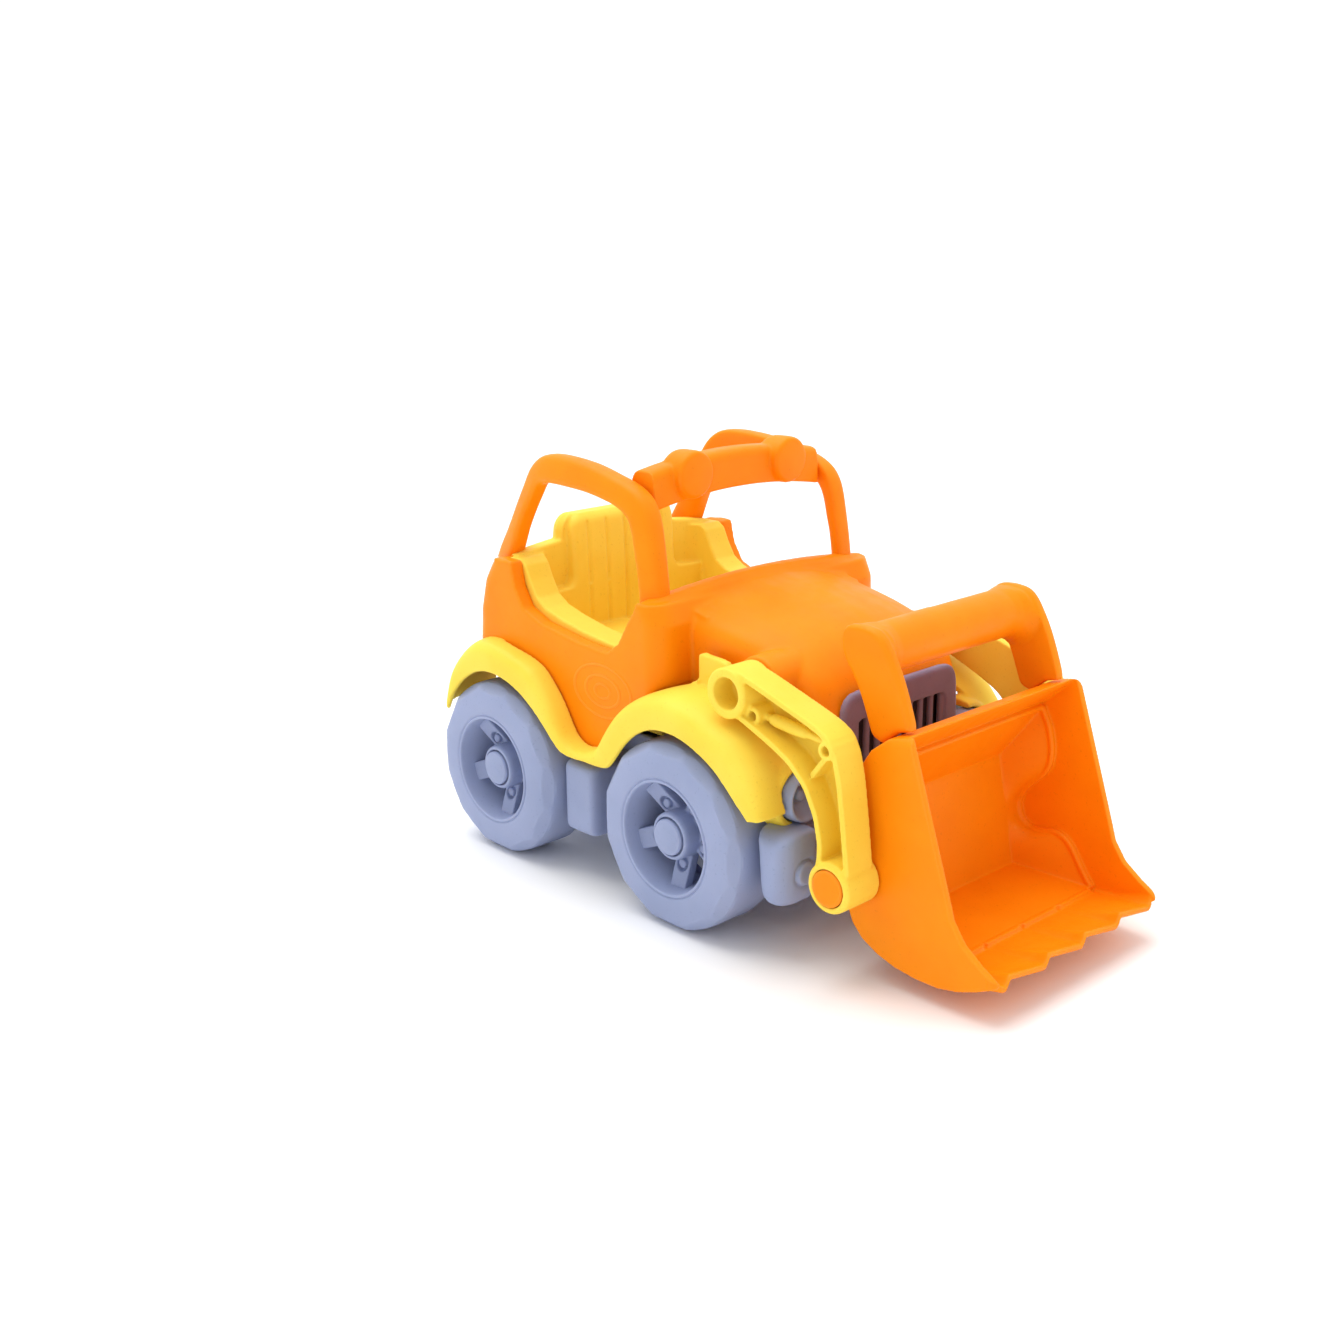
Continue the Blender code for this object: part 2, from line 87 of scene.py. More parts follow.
def spline(points, steps=4):
    """Points on a centripetal Catmull-Rom curve through points of any dimension."""
    count = len(points)
    made = []
    for i in range(count - 1):
        quad = []
        for j in range(i - 1, i + 3):
            if 0 <= j < count:
                quad.append(points[j])
            else:
                end, inner = (0, 1) if j < 0 else (count - 1, count - 2)
                quad.append(tuple(2 * a - b for a, b in zip(points[end], points[inner])))
        knots = [0]
        for a, b in zip(quad, quad[1:]):
            knots.append(knots[-1] + max(sum((u - v) ** 2 for u, v in zip(a, b)), 1e-9) ** 0.25)
        for s in range(steps):
            t = knots[1] + (knots[2] - knots[1]) * s / steps
            level = quad
            for depth in (1, 2, 3):
                level = [
                    tuple(((knots[k + depth] - t) * u + (t - knots[k]) * v) / (knots[k + depth] - knots[k])
                          for u, v in zip(level[k], level[k + 1]))
                    for k in range(len(level) - 1)
                ]
            made.append(level[0])
    made.append(tuple(points[-1]))
    return made


def rounded(corners, radius, steps=5):
    """An outline whose corners are arcs. radius is one number, or one for each corner."""
    count = len(corners)
    radii = radius if hasattr(radius, "__len__") else [radius] * count
    outline = []
    for i, corner in enumerate(corners):
        if radii[i] <= 0:
            outline.append(tuple(corner))
            continue
        ends = []
        for other in (corners[i - 1], corners[(i + 1) % count]):
            length = hypot(other[0] - corner[0], other[1] - corner[1])
            reach = min(radii[i], 0.48 * length) / length
            ends.append([c + (o - c) * reach for c, o in zip(corner, other)])
        for k in range(steps + 1):
            t = k / steps
            outline.append(tuple((1 - t) ** 2 * a + 2 * t * (1 - t) * c + t * t * b
                                 for a, c, b in zip(ends[0], corner, ends[1])))
    return outline


def turns(count):
    """Angles that divide a full turn evenly."""
    return [2 * pi * i / count for i in range(count)]


def circle(x, z, radius, sides=32):
    return [(x + radius * cos(a), z + radius * sin(a)) for a in turns(sides)]


def around(centre, side, other, radius, sides):
    """A circle in the plane of two directions, as 3-D points."""
    return [tuple(centre + side * radius * cos(a) + other * radius * sin(a)) for a in turns(sides)]


def ring_y(y, x, z, radius, sides=48):
    """A circle about a line along Y, as 3-D points."""
    return [(px, y, pz) for px, pz in circle(x, z, radius, sides)]


def ring_x(x, y, z, radius, sides):
    """A circle about a line along X, as 3-D points."""
    return [(x, py, pz) for py, pz in circle(y, z, radius, sides)]


def eased(share):
    """How far a quarter circle has fallen away at a share of its radius."""
    return 1 - max(0, 1 - share ** 2) ** 0.5


def inset(outline, distance):
    """The outline moved inward by a distance, corner by corner, whichever way it runs."""
    count = len(outline)
    area = sum(outline[i - 1][0] * outline[i][1] - outline[i][0] * outline[i - 1][1] for i in range(count))
    turn = 1 if area > 0 else -1
    moved = []
    for i, (x, z) in enumerate(outline):
        before, after = outline[i - 1], outline[(i + 1) % count]
        normal = [0, 0]
        for a, b in ((before, (x, z)), ((x, z), after)):
            length = max(hypot(b[0] - a[0], b[1] - a[1]), 1e-9)
            normal[0] -= turn * (b[1] - a[1]) / length
            normal[1] += turn * (b[0] - a[0]) / length
        scale = distance / max(0.5 * (normal[0] ** 2 + normal[1] ** 2), 0.5)
        moved.append((x + normal[0] * scale, z + normal[1] * scale))
    return moved


def loft(rings):
    """Points and faces of a closed skin over rings that have the same number of points."""
    count = len(rings[0])
    points = [p for ring in rings for p in ring]
    faces = [tuple(range(count)), tuple(range(len(points) - 1, len(points) - count - 1, -1))]
    for row in range(len(rings) - 1):
        for i in range(count):
            j = (i + 1) % count
            low, high = row * count, (row + 1) * count
            faces.append((low + i, low + j, high + j, high + i))
    return points, faces


def prism(outline, y_a, y_b, edge=0):
    """An x-z outline extruded between two y planes; edge rounds the rim at y_b."""
    levels = [(y_a, 0)]
    if edge:
        way = 1 if y_b > y_a else -1
        for k in range(5):
            a = k * pi / 8
            levels.append((y_b - way * edge * (1 - sin(a)), edge * (1 - cos(a))))
    else:
        levels.append((y_b, 0))
    return loft([[(x, y, z) for x, z in (inset(outline, d) if d else outline)] for y, d in levels])


def box(x_low, x_high, y_low, y_high, z_low, z_high):
    return prism([(x_low, z_low), (x_high, z_low), (x_high, z_high), (x_low, z_high)], y_low, y_high)


def slab(outline, z_low, z_high):
    """An x-y outline extruded upward."""
    return loft([[(x, y, z) for x, y in outline] for z in (z_low, z_high)])


def turned(x, z, profile, sides=64):
    """A solid of revolution about a line along Y. profile is a closed loop of (y, radius)."""
    points, faces = [], []
    count = len(profile)
    for i, a in enumerate(turns(sides)):
        points += [(x + r * cos(a), y, z + r * sin(a)) for y, r in profile]
        for k in range(count):
            here, there = i * count, ((i + 1) % sides) * count
            m = (k + 1) % count
            faces.append((here + k, here + m, there + m, there + k))
    return points, faces


def rod(start, end, profile, sides=24):
    """A round solid between two points. profile is a list of (share of the length, radius)."""
    start, end = Vector(start), Vector(end)
    axis = (end - start).normalized()
    side = axis.cross(Vector((0, 0, 1)) if abs(axis.z) < 0.9 else Vector((0, 1, 0))).normalized()
    other = axis.cross(side)
    rings = [around(start.lerp(end, share), side, other, r, sides) for share, r in profile]
    return loft(rings)


def mirrored(shape):
    points, faces = shape
    return [(x, -y, z) for x, y, z in points], [tuple(reversed(f)) for f in faces]


# ---- meshes

def placed(name, data):
    """A new object in the scene."""
    made = bpy.data.objects.new(name, data)
    bpy.context.scene.collection.objects.link(made)
    return made


def raw(points, faces, name="raw"):
    mesh = bpy.data.meshes.new(name)
    mesh.from_pydata([(x * MM, y * MM, z * MM) for x, y, z in points], [], faces)
    work = bmesh.new()
    work.from_mesh(mesh)
    bmesh.ops.remove_doubles(work, verts=work.verts, dist=1e-6)
    bmesh.ops.recalc_face_normals(work, faces=work.faces)
    work.to_mesh(mesh)
    work.free()
    return placed(name, mesh)


def baked(piece):
    """The piece's mesh with its modifiers applied."""
    graph = bpy.context.evaluated_depsgraph_get()
    return bpy.data.meshes.new_from_object(piece.evaluated_get(graph))


def discard(pieces):
    for piece in pieces:
        mesh = piece.data
        bpy.data.objects.remove(piece)
        bpy.data.meshes.remove(mesh)


def moulded(name, adds, cuts=(), extras=(), voxel=0.7, soften=5, keep=0.5):
    """One moulding: adds joined, less cuts, plus extras, with soft fillets where shapes meet.

    The shapes are fused on a grid of voxel millimetres, softened, and thinned to keep of their faces.
    """
    work = raw(*adds[0])
    helpers = []
    for operation, shapes in (("UNION", adds[1:]), ("DIFFERENCE", cuts)):
        for shape in shapes:
            helpers.append(raw(*shape, "helper"))
            step = work.modifiers.new("shape", "BOOLEAN")
            step.operation, step.object, step.solver = operation, helpers[-1], "EXACT"
    whole = bmesh.new()
    whole.from_mesh(baked(work))
    for shape in extras:
        helpers.append(raw(*shape, "extra"))
        whole.from_mesh(helpers[-1].data)
    mesh = bpy.data.meshes.new(name)
    whole.to_mesh(mesh)
    whole.free()
    discard(helpers + [work])
    made = placed(name, mesh)
    fused = made.modifiers.new("fuse", "REMESH")
    fused.mode, fused.voxel_size, fused.use_smooth_shade = "VOXEL", voxel * MM, True
    soft = made.modifiers.new("soften", "SMOOTH")
    soft.factor, soft.iterations = 0.5, soften
    thin = made.modifiers.new("thin", "DECIMATE")
    thin.ratio = keep
    final = baked(made)
    made.modifiers.clear()
    made.data = final
    bpy.data.meshes.remove(mesh)
    return made


def smooth(piece, angle=40):
    piece.data.shade_smooth()
    piece.data.set_sharp_from_angle(angle=radians(angle))
    return piece


def joined(name, models, place):
    """One new piece from copies of several models, moved by a matrix."""
    mesh = bpy.data.meshes.new(name)
    work = bmesh.new()
    for model in models:
        work.from_mesh(model.data)
    work.to_mesh(mesh)
    work.free()
    mesh.transform(place)
    return placed(name, mesh)


def mirror_copy(piece, name):
    """The left-hand twin of a right-hand piece."""
    mesh = piece.data.copy()
    mesh.transform(Matrix.Scale(-1, 4, (0, 1, 0)))
    mesh.flip_normals()
    return placed(name, mesh)


# ---- materials

# base colour, darker tone that clouds it, roughness
PLASTICS = {
    "orange_plastic": ((1.0, 0.285, 0.002), (0.95, 0.255, 0.001), 0.42),
    "yellow_plastic": ((0.97, 0.72, 0.085), (0.94, 0.665, 0.065), 0.44),
    "grey_plastic": ((0.335, 0.385, 0.575), (0.30, 0.35, 0.53), 0.46),
    # painted shade: near-black, for sheets that stand for shadow in deep gaps
    "shadowed_plastic": ((0.035, 0.028, 0.04), (0.03, 0.024, 0.034), 0.6),
    "dark_grey_plastic": ((0.26, 0.215, 0.30), (0.22, 0.18, 0.26), 0.5),
}


def link(tree, source, output, target, socket):
    tree.links.new(source.outputs[output], target.inputs[socket])


def set_range(node, low, high, out_low, out_high):
    values = (low, high, out_low, out_high)
    for socket, value in zip(("From Min", "From Max", "To Min", "To Max"), values):
        node.inputs[socket].default_value = value


def plastic(slot):
    """Satin plastic: faint clouds and specks of colour, uneven gloss, a fine grain, and a painted highlight that
    lightens convex edges.
    """
    light, dark, rough = PLASTICS[slot]
    made = bpy.data.materials.new(slot)
    made.use_nodes = True
    tree = made.node_tree
    shader = tree.nodes["Principled BSDF"]
    place = tree.nodes.new("ShaderNodeTexCoord")

    def noise(scale, detail):
        node = tree.nodes.new("ShaderNodeTexNoise")
        node.inputs["Scale"].default_value = scale
        node.inputs["Detail"].default_value = detail
        link(tree, place, "Object", node, "Vector")
        return node

    def spread(source, low, high, out_low, out_high):
        node = tree.nodes.new("ShaderNodeMapRange")
        set_range(node, low, high, out_low, out_high)
        tree.links.new(source, node.inputs["Value"])
        return node

    def mix(factor, first, second):
        node = tree.nodes.new("ShaderNodeMix")
        node.data_type = "RGBA"
        tree.links.new(factor, node.inputs["Factor"])
        for socket, value in ((node.inputs[6], first), (node.inputs[7], second)):
            if isinstance(value, tuple):
                socket.default_value = (*value, 1.0)
            else:
                tree.links.new(value, socket)
        return node.outputs[2]

    clouds = spread(noise(45.0, 3.0).outputs["Fac"], 0.35, 0.7, 0.0, 1.0)
    colour = mix(clouds.outputs["Result"], light, dark)
    specks = spread(noise(900.0, 1.0).outputs["Fac"], 0.66, 0.74, 0.0, 0.35)
    colour = mix(specks.outputs["Result"], colour, tuple(0.8 * c for c in dark))
    # painted highlight: convex edges (high pointiness) are mixed toward a lighter tone of the base colour,
    # standing in for light catching the edges
    shape = tree.nodes.new("ShaderNodeNewGeometry")
    edges = spread(shape.outputs["Pointiness"], 0.515, 0.56, 0.0, 0.30)
    colour = mix(edges.outputs["Result"], colour, tuple(min(1.0, 1.12 * c + 0.05) for c in light))
    tree.links.new(colour, shader.inputs["Base Color"])
    gloss = spread(noise(160.0, 2.0).outputs["Fac"], 0.3, 0.7, rough - 0.05, rough + 0.07)
    link(tree, gloss, "Result", shader, "Roughness")
    grain = tree.nodes.new("ShaderNodeBump")
    grain.inputs["Strength"].default_value = 0.12
    grain.inputs["Distance"].default_value = 0.0002
    link(tree, noise(2600.0, 2.0), "Fac", grain, "Height")
    link(tree, grain, "Normal", shader, "Normal")
    shader.inputs["IOR"].default_value = 1.45
    shader.inputs["Specular IOR Level"].default_value = 0.16
    shader.inputs["Subsurface Weight"].default_value = 0.08
    shader.inputs["Subsurface Radius"].default_value = (1.0, 0.5, 0.25)
    shader.inputs["Subsurface Scale"].default_value = 0.002
    made.diffuse_color = (*light, 1.0)
    return made


MATERIALS = {slot: plastic(slot) for slot in PLASTICS}


def finish_piece(piece, *nodes):
    """Gives a piece its plastic, lets it ride on its CAD body and stand for its CAD nodes."""
    slot = SLOT_OF[nodes[0]]
    piece.data.materials.clear()
    piece.data.materials.append(MATERIALS[slot])
    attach(piece, BODY_OF[nodes[0]])
    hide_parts(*nodes)
    return piece


def pair(piece, node):
    """Finishes a right-hand piece and its left-hand twin; node is the CAD name without its side."""
    twin = mirror_copy(piece, piece.name.replace("right", "left"))
    finish_piece(piece, "right_" + node)
    finish_piece(twin, "left_" + node)


# ---- wheels

RIM_R, HUB_R, CAP_R = 21.7, 9, 6.8
SPOKES, FIRST_SPOKE = 5, radians(57)
SPOKE_HALF, SPOKE_THICK = 3.8, 4.0
# radius and distance from the middle plane of a spoke's outer face, at the hub and at the dish
SPOKE_HUB, SPOKE_DISH = (8, 62.8), (20, 67.3)
STUD_AT, STUD_R, PIT_R = 11.9, 1.8, 2.9
TYRE_SIDES, FACETS = 144, 12
FACET_LEAN, FACET_DEPTH, FACET_FROM = radians(42), 1.9, 28.5


def tyre():
    """Tyre and dish turned about Y, outer face toward -Y, with shallow facets on both shoulders."""
    face, inner = -WHEEL_OUT, -WHEEL_IN
    profile = [
        (inner, 24), (inner, 29.5), (inner - 0.5, 32.8), (inner - 1.8, 34.6),
        (inner - 4.5, TYRE_R - 0.1), (inner - 10, TYRE_R), (inner - 14, TYRE_R),
        (face + 8, TYRE_R), (face + 4.2, TYRE_R - 0.4), (face + 2, 34), (face + 0.8, 31.6),
        (face + 0.2, 28), (face, 24), (face + 0.15, RIM_R + 1), (face + 0.5, RIM_R + 0.45),
        (face, RIM_R), (face + 0.1, RIM_R - 0.7), (face + 1.2, RIM_R - 1.1),
    ]
    dish = [(-62, 19.8), (-55.5, 19.2), (-54.5, 20.5), (-54.5, 24), (-52, 25.5), (inner - 1.5, 25)]
    points, faces = turned(0, 0, spline(profile, 3) + dish, TYRE_SIDES)
    planes = ((FACET_LEAN, 0, face + 3), (-FACET_LEAN, 0.5, inner - 3))
    cut_points = []
    for x, y, z in points:
        for lean, offset, y_mid in planes:
            around = atan2(z, x) / (2 * pi) * FACETS - offset
            a = 2 * pi * (round(around) + offset) / FACETS
            normal = Vector((cos(a) * cos(lean), -sin(lean), sin(a) * cos(lean)))
            on_plane = Vector((cos(a) * (TYRE_R - FACET_DEPTH), y_mid, sin(a) * (TYRE_R - FACET_DEPTH)))
            over = (Vector((x, y, z)) - on_plane).dot(normal)
            if over > 0 and hypot(x, z) > FACET_FROM:
                x, y, z = Vector((x, y, z)) - normal * over
        cut_points.append((x, y, z))
    return cut_points, faces


def spoke_face(r):
    """Distance of a spoke's outer face from the middle plane: spokes fall from the dish to the hub."""
    (hub_r, hub_y), (dish_r, dish_y) = SPOKE_HUB, SPOKE_DISH
    return hub_y + (dish_y - hub_y) * (r - hub_r) / (dish_r - hub_r)


def turn_about_y(shape, a):
    return [(x * cos(a) - z * sin(a), y, x * sin(a) + z * cos(a)) for x, y, z in shape[0]], shape[1]


def spokes():
    """Sloping spokes, the round pits in them and the studs that stand in the pits."""
    plates, pits, studs = [], [], []
    for turn in turns(SPOKES):
        a = FIRST_SPOKE + turn
        rings = []
        for r, half in ((6, SPOKE_HALF + 0.3), (20.4, SPOKE_HALF)):
            y = -spoke_face(r)
            back = y + SPOKE_THICK
            rings.append([(r, y, -half), (r, y, half), (r, back, half), (r, back, -half)])
        plates.append(turn_about_y(loft(rings), a))
        pits.append(turn_about_y(prism(circle(STUD_AT, 0, PIT_R, 24), -62.6, -70), a))
        studs.append(turn_about_y(prism(circle(STUD_AT, 0, STUD_R, 24), -62, -64.6, 0.5), a))
    return plates, pits, studs


def wheels():
    """Four wheels and hub caps from one set of meshes; the CAD axles and shaft stay, in dark plastic."""
    hub = [(-49, 3.6), (-49, 8.2), (-54, HUB_R), (-68.6, HUB_R), (-69.9, HUB_R - 0.35),
           (-70.3, HUB_R - 1), (-70.3, CAP_R + 0.75), (-69.9, CAP_R + 0.5), (-68.4, CAP_R + 0.5),
           (-68.4, 3.6)]
    plates, pits, studs = spokes()
    centre = moulded("wheel_middle", [turned(0, 0, hub)] + plates, pits, studs, 0.42, 2, 0.35)
    rim = smooth(raw(*tyre(), "wheel_rim"), 16)
    cap_profile = [(-68.9, CAP_R - 0.3), (-70.7, CAP_R), (-71.3, CAP_R - 0.35), (-71.6, CAP_R - 1.1),
                   (-71.75, 3), (-71.8, 0.6)]
    cap = smooth(raw(*loft([ring_y(y, 0, 0, r) for y, r in cap_profile]), "cap"), 30)
    for axle, x in (("front", FRONT_X), ("rear", REAR_X)):
        for hand, turn in (("right", 0), ("left", pi)):
            place = Matrix.Translation((x * MM, 0, AXLE_Z * MM)) @ Matrix.Rotation(turn, 4, "Z")
            for models, part in (((rim, centre), "wheel"), ((cap,), "hub_cap")):
                node = f"{axle}_{hand}_{part}"
                finish_piece(joined("detailed_" + node, models, place), node)
    discard([centre, rim, cap])
    for node in ("front_axle", "rear_axle", "lift_shaft"):
        cad = frame["nodes"][node]
        cad.data.materials.clear()
        cad.data.materials.append(MATERIALS["dark_grey_plastic"])


# ---- body shell

TUB_REAR = -103.2
# how far the back moves at the middle, and how much each point follows the rounded corner
MIDDLE_BACK = (-1.2, -2, -4.6, -7, -7)
REAR_SHARE = (1, 1, 1, 0.9, 0.5)
CORNER_R, REAR_BULGE = 9, 1.2
REAR_EDGE = [(-120.9, 80), (-119.4, 97), (-116, 109.4), (-110.6, 117.4), (-102.5, 120)]
DOOR_EDGE = [
    (-94.9, 119.6), (-92.6, 109.8), (-87.7, 102.2), (-77.5, 98.2), (-56.4, 95.1), (-38.3, 93.8),
    (-31.5, 98.6), (-26.3, 107.2), (-20.6, 115.4),
]
COWL_EDGE = [(-13, 115.6), (-9.5, 108), (-9, 86)]
SKIRT_EDGE = [
    (-16.1, 77), (-24.4, 70.7), (-34.2, 59.3), (-39.3, 53.5), (-51.1, 53), (-55.4, 56),
    (-61.4, 65), (-66.2, 72.2), (-72.4, 76.8), (-84.2, 80), (-96.3, 82.3), (-107.4, 83.3),
]
# hood stations: x, half width, height of the edge, height at the middle
HOOD = [
    (-21.5, 45.6, 113.5, 118.9), (-9, 45, 112.4, 117), (3, 44.4, 110.6, 115.2),
    (20, 43.3, 107.3, 111.6), (33, 41.8, 103.3, 107.2), (42, 39.8, 98, 101.3),
    (47.5, 37.2, 92, 94.8), (50.6, 34.6, 85.6, 87.6),
]
HOOD_BASE, BASE_Y, WALL = 58, 43.6, 2.6


def hood_ring(x, half, edge, crown, base, less=0):
    """One cross section of the hood: upright sides, broad rounded shoulders and a crowned top."""
    half, edge, crown = half - less, edge - less, crown - less
    right = [(min(half, BASE_Y - less), base), (half, edge - 10)]
    for k in range(1, 7):
        a = k * pi / 14
        right.append((half - 8 + 8 * cos(a), edge - 9 + 8 * sin(a)))
    for t in (0.66, 0.5, 0.34, 0.17):
        right.append((half * t, edge - 0.9 + (crown - edge + 0.9) * (1 - (t / 0.86) ** 2)))
    return [(x, y, z) for y, z in right] + [(x, -y, z) for y, z in reversed(right)]


def edge_strip(line, section):
    """A strip that follows an x-z line; section is a list of (depth below the line, y)."""
    rings = []
    for i, (x, z) in enumerate(line):
        before, after = line[max(i - 1, 0)], line[min(i + 1, len(line) - 1)]
        dx, dz = after[0] - before[0], after[1] - before[1]
        long = hypot(dx, dz)
        rings.append([(x + dz / long * d, y, z - dx / long * d) for d, y in section])
    return loft(rings)


def cab_rings(side):
    """Sections of one half of the cab body, from near the middle out to the rounded side."""
    outline = REAR_EDGE + DOOR_EDGE + COWL_EDGE + SKIRT_EDGE
    last, first_cowl = len(outline) - 1, len(REAR_EDGE + DOOR_EDGE)
    ring = []
    for i, (x, z) in enumerate(outline):
        if i < len(REAR_EDGE):
            x += MIDDLE_BACK[i]
        elif i == last:
            x -= REAR_BULGE
        ring.append((x, side * (SIDE_Y - 17), z))
    rings = [ring]
    for k in range(7):
        a = k * pi / 12
        out = SIDE_Y - CORNER_R * (1 - sin(a))
        back = CORNER_R * (1 - cos(a)) - REAR_BULGE
        ring = []
        for i, (x, z) in enumerate(outline):
            if i < len(REAR_EDGE):
                x += back * REAR_SHARE[i]
            elif i == last:
                x += back
            elif first_cowl <= i < first_cowl + len(COWL_EDGE):
                x -= 0.9 * back + 1.0
            ring.append((x, side * out, z))
        rings.append(ring)
    return rings


def body_shell():
    """Hollow cab and hood in one moulding, with door lips, a crest on the cowl and a grille opening."""
    shell = loft(cab_rings(-1)[::-1] + cab_rings(1))
    stations = spline(HOOD, 4)
    skirt = rounded([(-121.4, 57.5), (-118.2, 57.5), (-118.2, 86), (-121.6, 86)], 0.8)
    adds = [shell, loft([hood_ring(*s, HOOD_BASE) for s in stations]),
            prism(circle(*PIVOT, 10, 40), -50.2, 50.2), prism(skirt, -CHASSIS_Y, CHASSIS_Y)]
    inside = SIDE_Y - WALL
    trunk = [(-118, 50), (-118, 84), (-115.2, 97), (-110.3, 109.2), (-106, 115.2), (-102, 116.2), (-102, 50)]
    hollow = [(x if x < 40 else x - 2.6, half, edge, crown) for x, half, edge, crown in stations if x > -20]
    cuts = [
        box(TUB_REAR - GAP, -24, -inside, inside, 40, 130), prism(trunk, -inside, inside),
        box(-21.4, -12.2, -inside, inside, 40, 110),
        loft([hood_ring(-21.4, 45.5, 113, 117.5, 40, WALL)] + [hood_ring(*s, 40, WALL) for s in hollow]),
        prism(circle(*PIVOT, 5.8, 32), -60, 60), box(46.5, 53, -26.8, 26.8, 54, 80.6),
    ]
    lip_line = [(-107, 119.4), (-100.5, 119.8)] + DOOR_EDGE
    lip_section = [(0.9, 55), (0, 56.4), (0, 60.8), (3.8, 60.8), (3.8, 55)]
    lips = [edge_strip(lip_line, [(depth, side * y) for depth, y in lip_section]) for side in (-1, 1)]
    crest = []
    for k in range(25):
        y = -SIDE_Y + 0.6 + (2 * SIDE_Y - 1.2) * k / 24
        z = 115.6 + 4.4 * (1 - (y / SIDE_Y) ** 2)
        back = 5.5 * max(0, (abs(y) - 50) / 12) ** 2
        crest.append([(-22.6, y, z - 6), (-22, y, z - 0.5), (-20.5, y, z + 0.3),
                      (-17.2 - back / 2, y, z + 0.1), (-14.6 - back, y, z - 1.6),
                      (-13.2 - back, y, z - 4.5), (-12.6 - back, y, z - 8)])
    fillet = []
    for k in range(15):
        y = -42.0 + 6.0 * k
        z = 110.6 + 4.5 * (1 - (y / 43) ** 2)
        fillet.append([(-16, y, z - 3), (-14.2, y, z + 3), (-11.8, y, z + 1.3), (-8.4, y, z + 0.3),
                       (-4, y, z - 0.5), (-4, y, z - 3)])
    extras = lips + [loft(crest), loft(fillet)]
    piece = moulded("detailed_body_shell", adds, cuts, extras, voxel=0.75, soften=6, keep=0.4)
    finish_piece(piece, "body_shell")
    for hand, side in (("right", -1), ("left", 1)):
        door_roundel(hand, side)


ROUNDEL, ROUNDEL_WIDE = (-40.6, 78.5), 1.6
ROUNDEL_RINGS = ((10.6, 9.7), (6.6, 5.6), (3.2, 2.3))


def door_roundel(hand, side):
    """Three plain raised ovals on the cab side."""
    x, z = ROUNDEL
    top, foot = side * (SIDE_Y + 0.28), side * (SIDE_Y - 1)
    rings = []
    for outer, inner in ROUNDEL_RINGS:
        ring = [(foot, outer), (top - side * 0.18, outer - 0.05), (top, outer - 0.25),
                (top, inner + 0.25), (top - side * 0.18, inner + 0.05), (foot, inner)]
        points, faces = turned(x, z, ring, 72)
        wide = [(x + (px - x) * ROUNDEL_WIDE, py, pz) for px, py, pz in points]
        rings.append(raw(wide, faces, "ring"))
    piece = smooth(joined(hand + "_door_roundel", rings, Matrix()))
    discard(rings)
    piece.data.materials.append(MATERIALS["orange_plastic"])
    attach(piece, "body")


# ---- roll cage

# hoop stations: x and z of the outer edge, x and z of the inner edge, distance from the middle
HOOP = [
    (-118.5, 117, -105.6, 117, 48.6), (-116.2, 121.3, -103.4, 121.3, 48.6),
    (-110.6, 129.5, -99.6, 130.5, 48.6), (-104.8, 139.4, -94.6, 139, 48.6),
    (-98.6, 149.2, -89.6, 146, 48.8), (-93.5, 156.5, -86.5, 149.6, 49.1),
    (-87.5, 160.8, -82.5, 151.2, 49.4), (-80.5, 162.3, -77, 151.6, 49.7),
    (-69.7, 162.3, -69.3, 151.5, 50), (-56.2, 161, -57, 150.9, 50.2),
    (-43.5, 158.3, -45.5, 149.2, 50.4), (-33.5, 155.6, -38, 147.3, 50.5),
    (-26.6, 151.6, -32.8, 144.2, 50.6), (-22.8, 145.8, -30.2, 139.2, 50.8),
    (-20.6, 136.5, -28.4, 131.5, 51), (-19.2, 128, -27, 126, 51.2),
    (-17.8, 117.5, -25.8, 117.5, 51.4), (-17.6, 113, -25.6, 113, 51.4),
]
HOOP_LEAN, HOOP_THICK = 1.5, 8.4


def signed_power(t, power):
    return abs(t) ** power * (1 if t > 0 else -1)


def roll_hoops():
    """Side frame of the roll cage: a rounded band whose outer edge leans inwards."""
    rings = []
    for xo, zo, xi, zi, y in spline(HOOP, 4):
        ring = []
        for a in turns(32):
            n, t = signed_power(cos(a), 0.6), signed_power(sin(a), 0.6)
            ring.append(((xo + xi) / 2 + (xo - xi) / 2 * n, HOOP_LEAN * n - y + HOOP_THICK / 2 * t,
                         (zo + zi) / 2 + (zo - zi) / 2 * n))
        rings.append(ring)
    piece = smooth(raw(*loft(rings), "detailed_right_roll_hoop"), 60)
    pair(piece, "roll_hoop")


LAMP_Y, LAMP_Z, LAMP_R = 25.6, 157.5, 9.1
LAMP_TILT = 0.035


def roof_light_bar():
    """Crowned bar with two round lamps sunk into it."""
    section = rounded([(-41.2, -7.3), (-41.2, 7.3), (-29.2, 7.3), (-28.6, -7.3)], [3.5, 5, 4.2, 1.2], 7)
    rings = []
    for k in range(33):
        y = -44.5 + 89 * k / 32
        rings.append([(x, y, z + 157.2 - 3.7 * (y / 42) ** 2) for x, z in section])
    profile = spline([(-38.6, 5.6), (-38, 7.6), (-36, 8.8), (-32, LAMP_R), (-28, LAMP_R),
                      (-26.6, LAMP_R - 0.3), (-25.9, LAMP_R - 1), (-25.7, 7.4), (-25.4, 4),
                      (-25.3, 0.8)], 3)
    lamps = []
    for side in (-1, 1):
        lamps.append(loft([[(x + LAMP_TILT * r * sin(a), side * LAMP_Y + r * cos(a), LAMP_Z + r * sin(a))
                            for a in turns(48)] for x, r in profile]))
    piece = moulded("detailed_roof_light_bar", [loft(rings)], extras=lamps, voxel=0.5, soften=2, keep=0.4)
    finish_piece(piece, "roof_light_bar")


# ---- cab tub

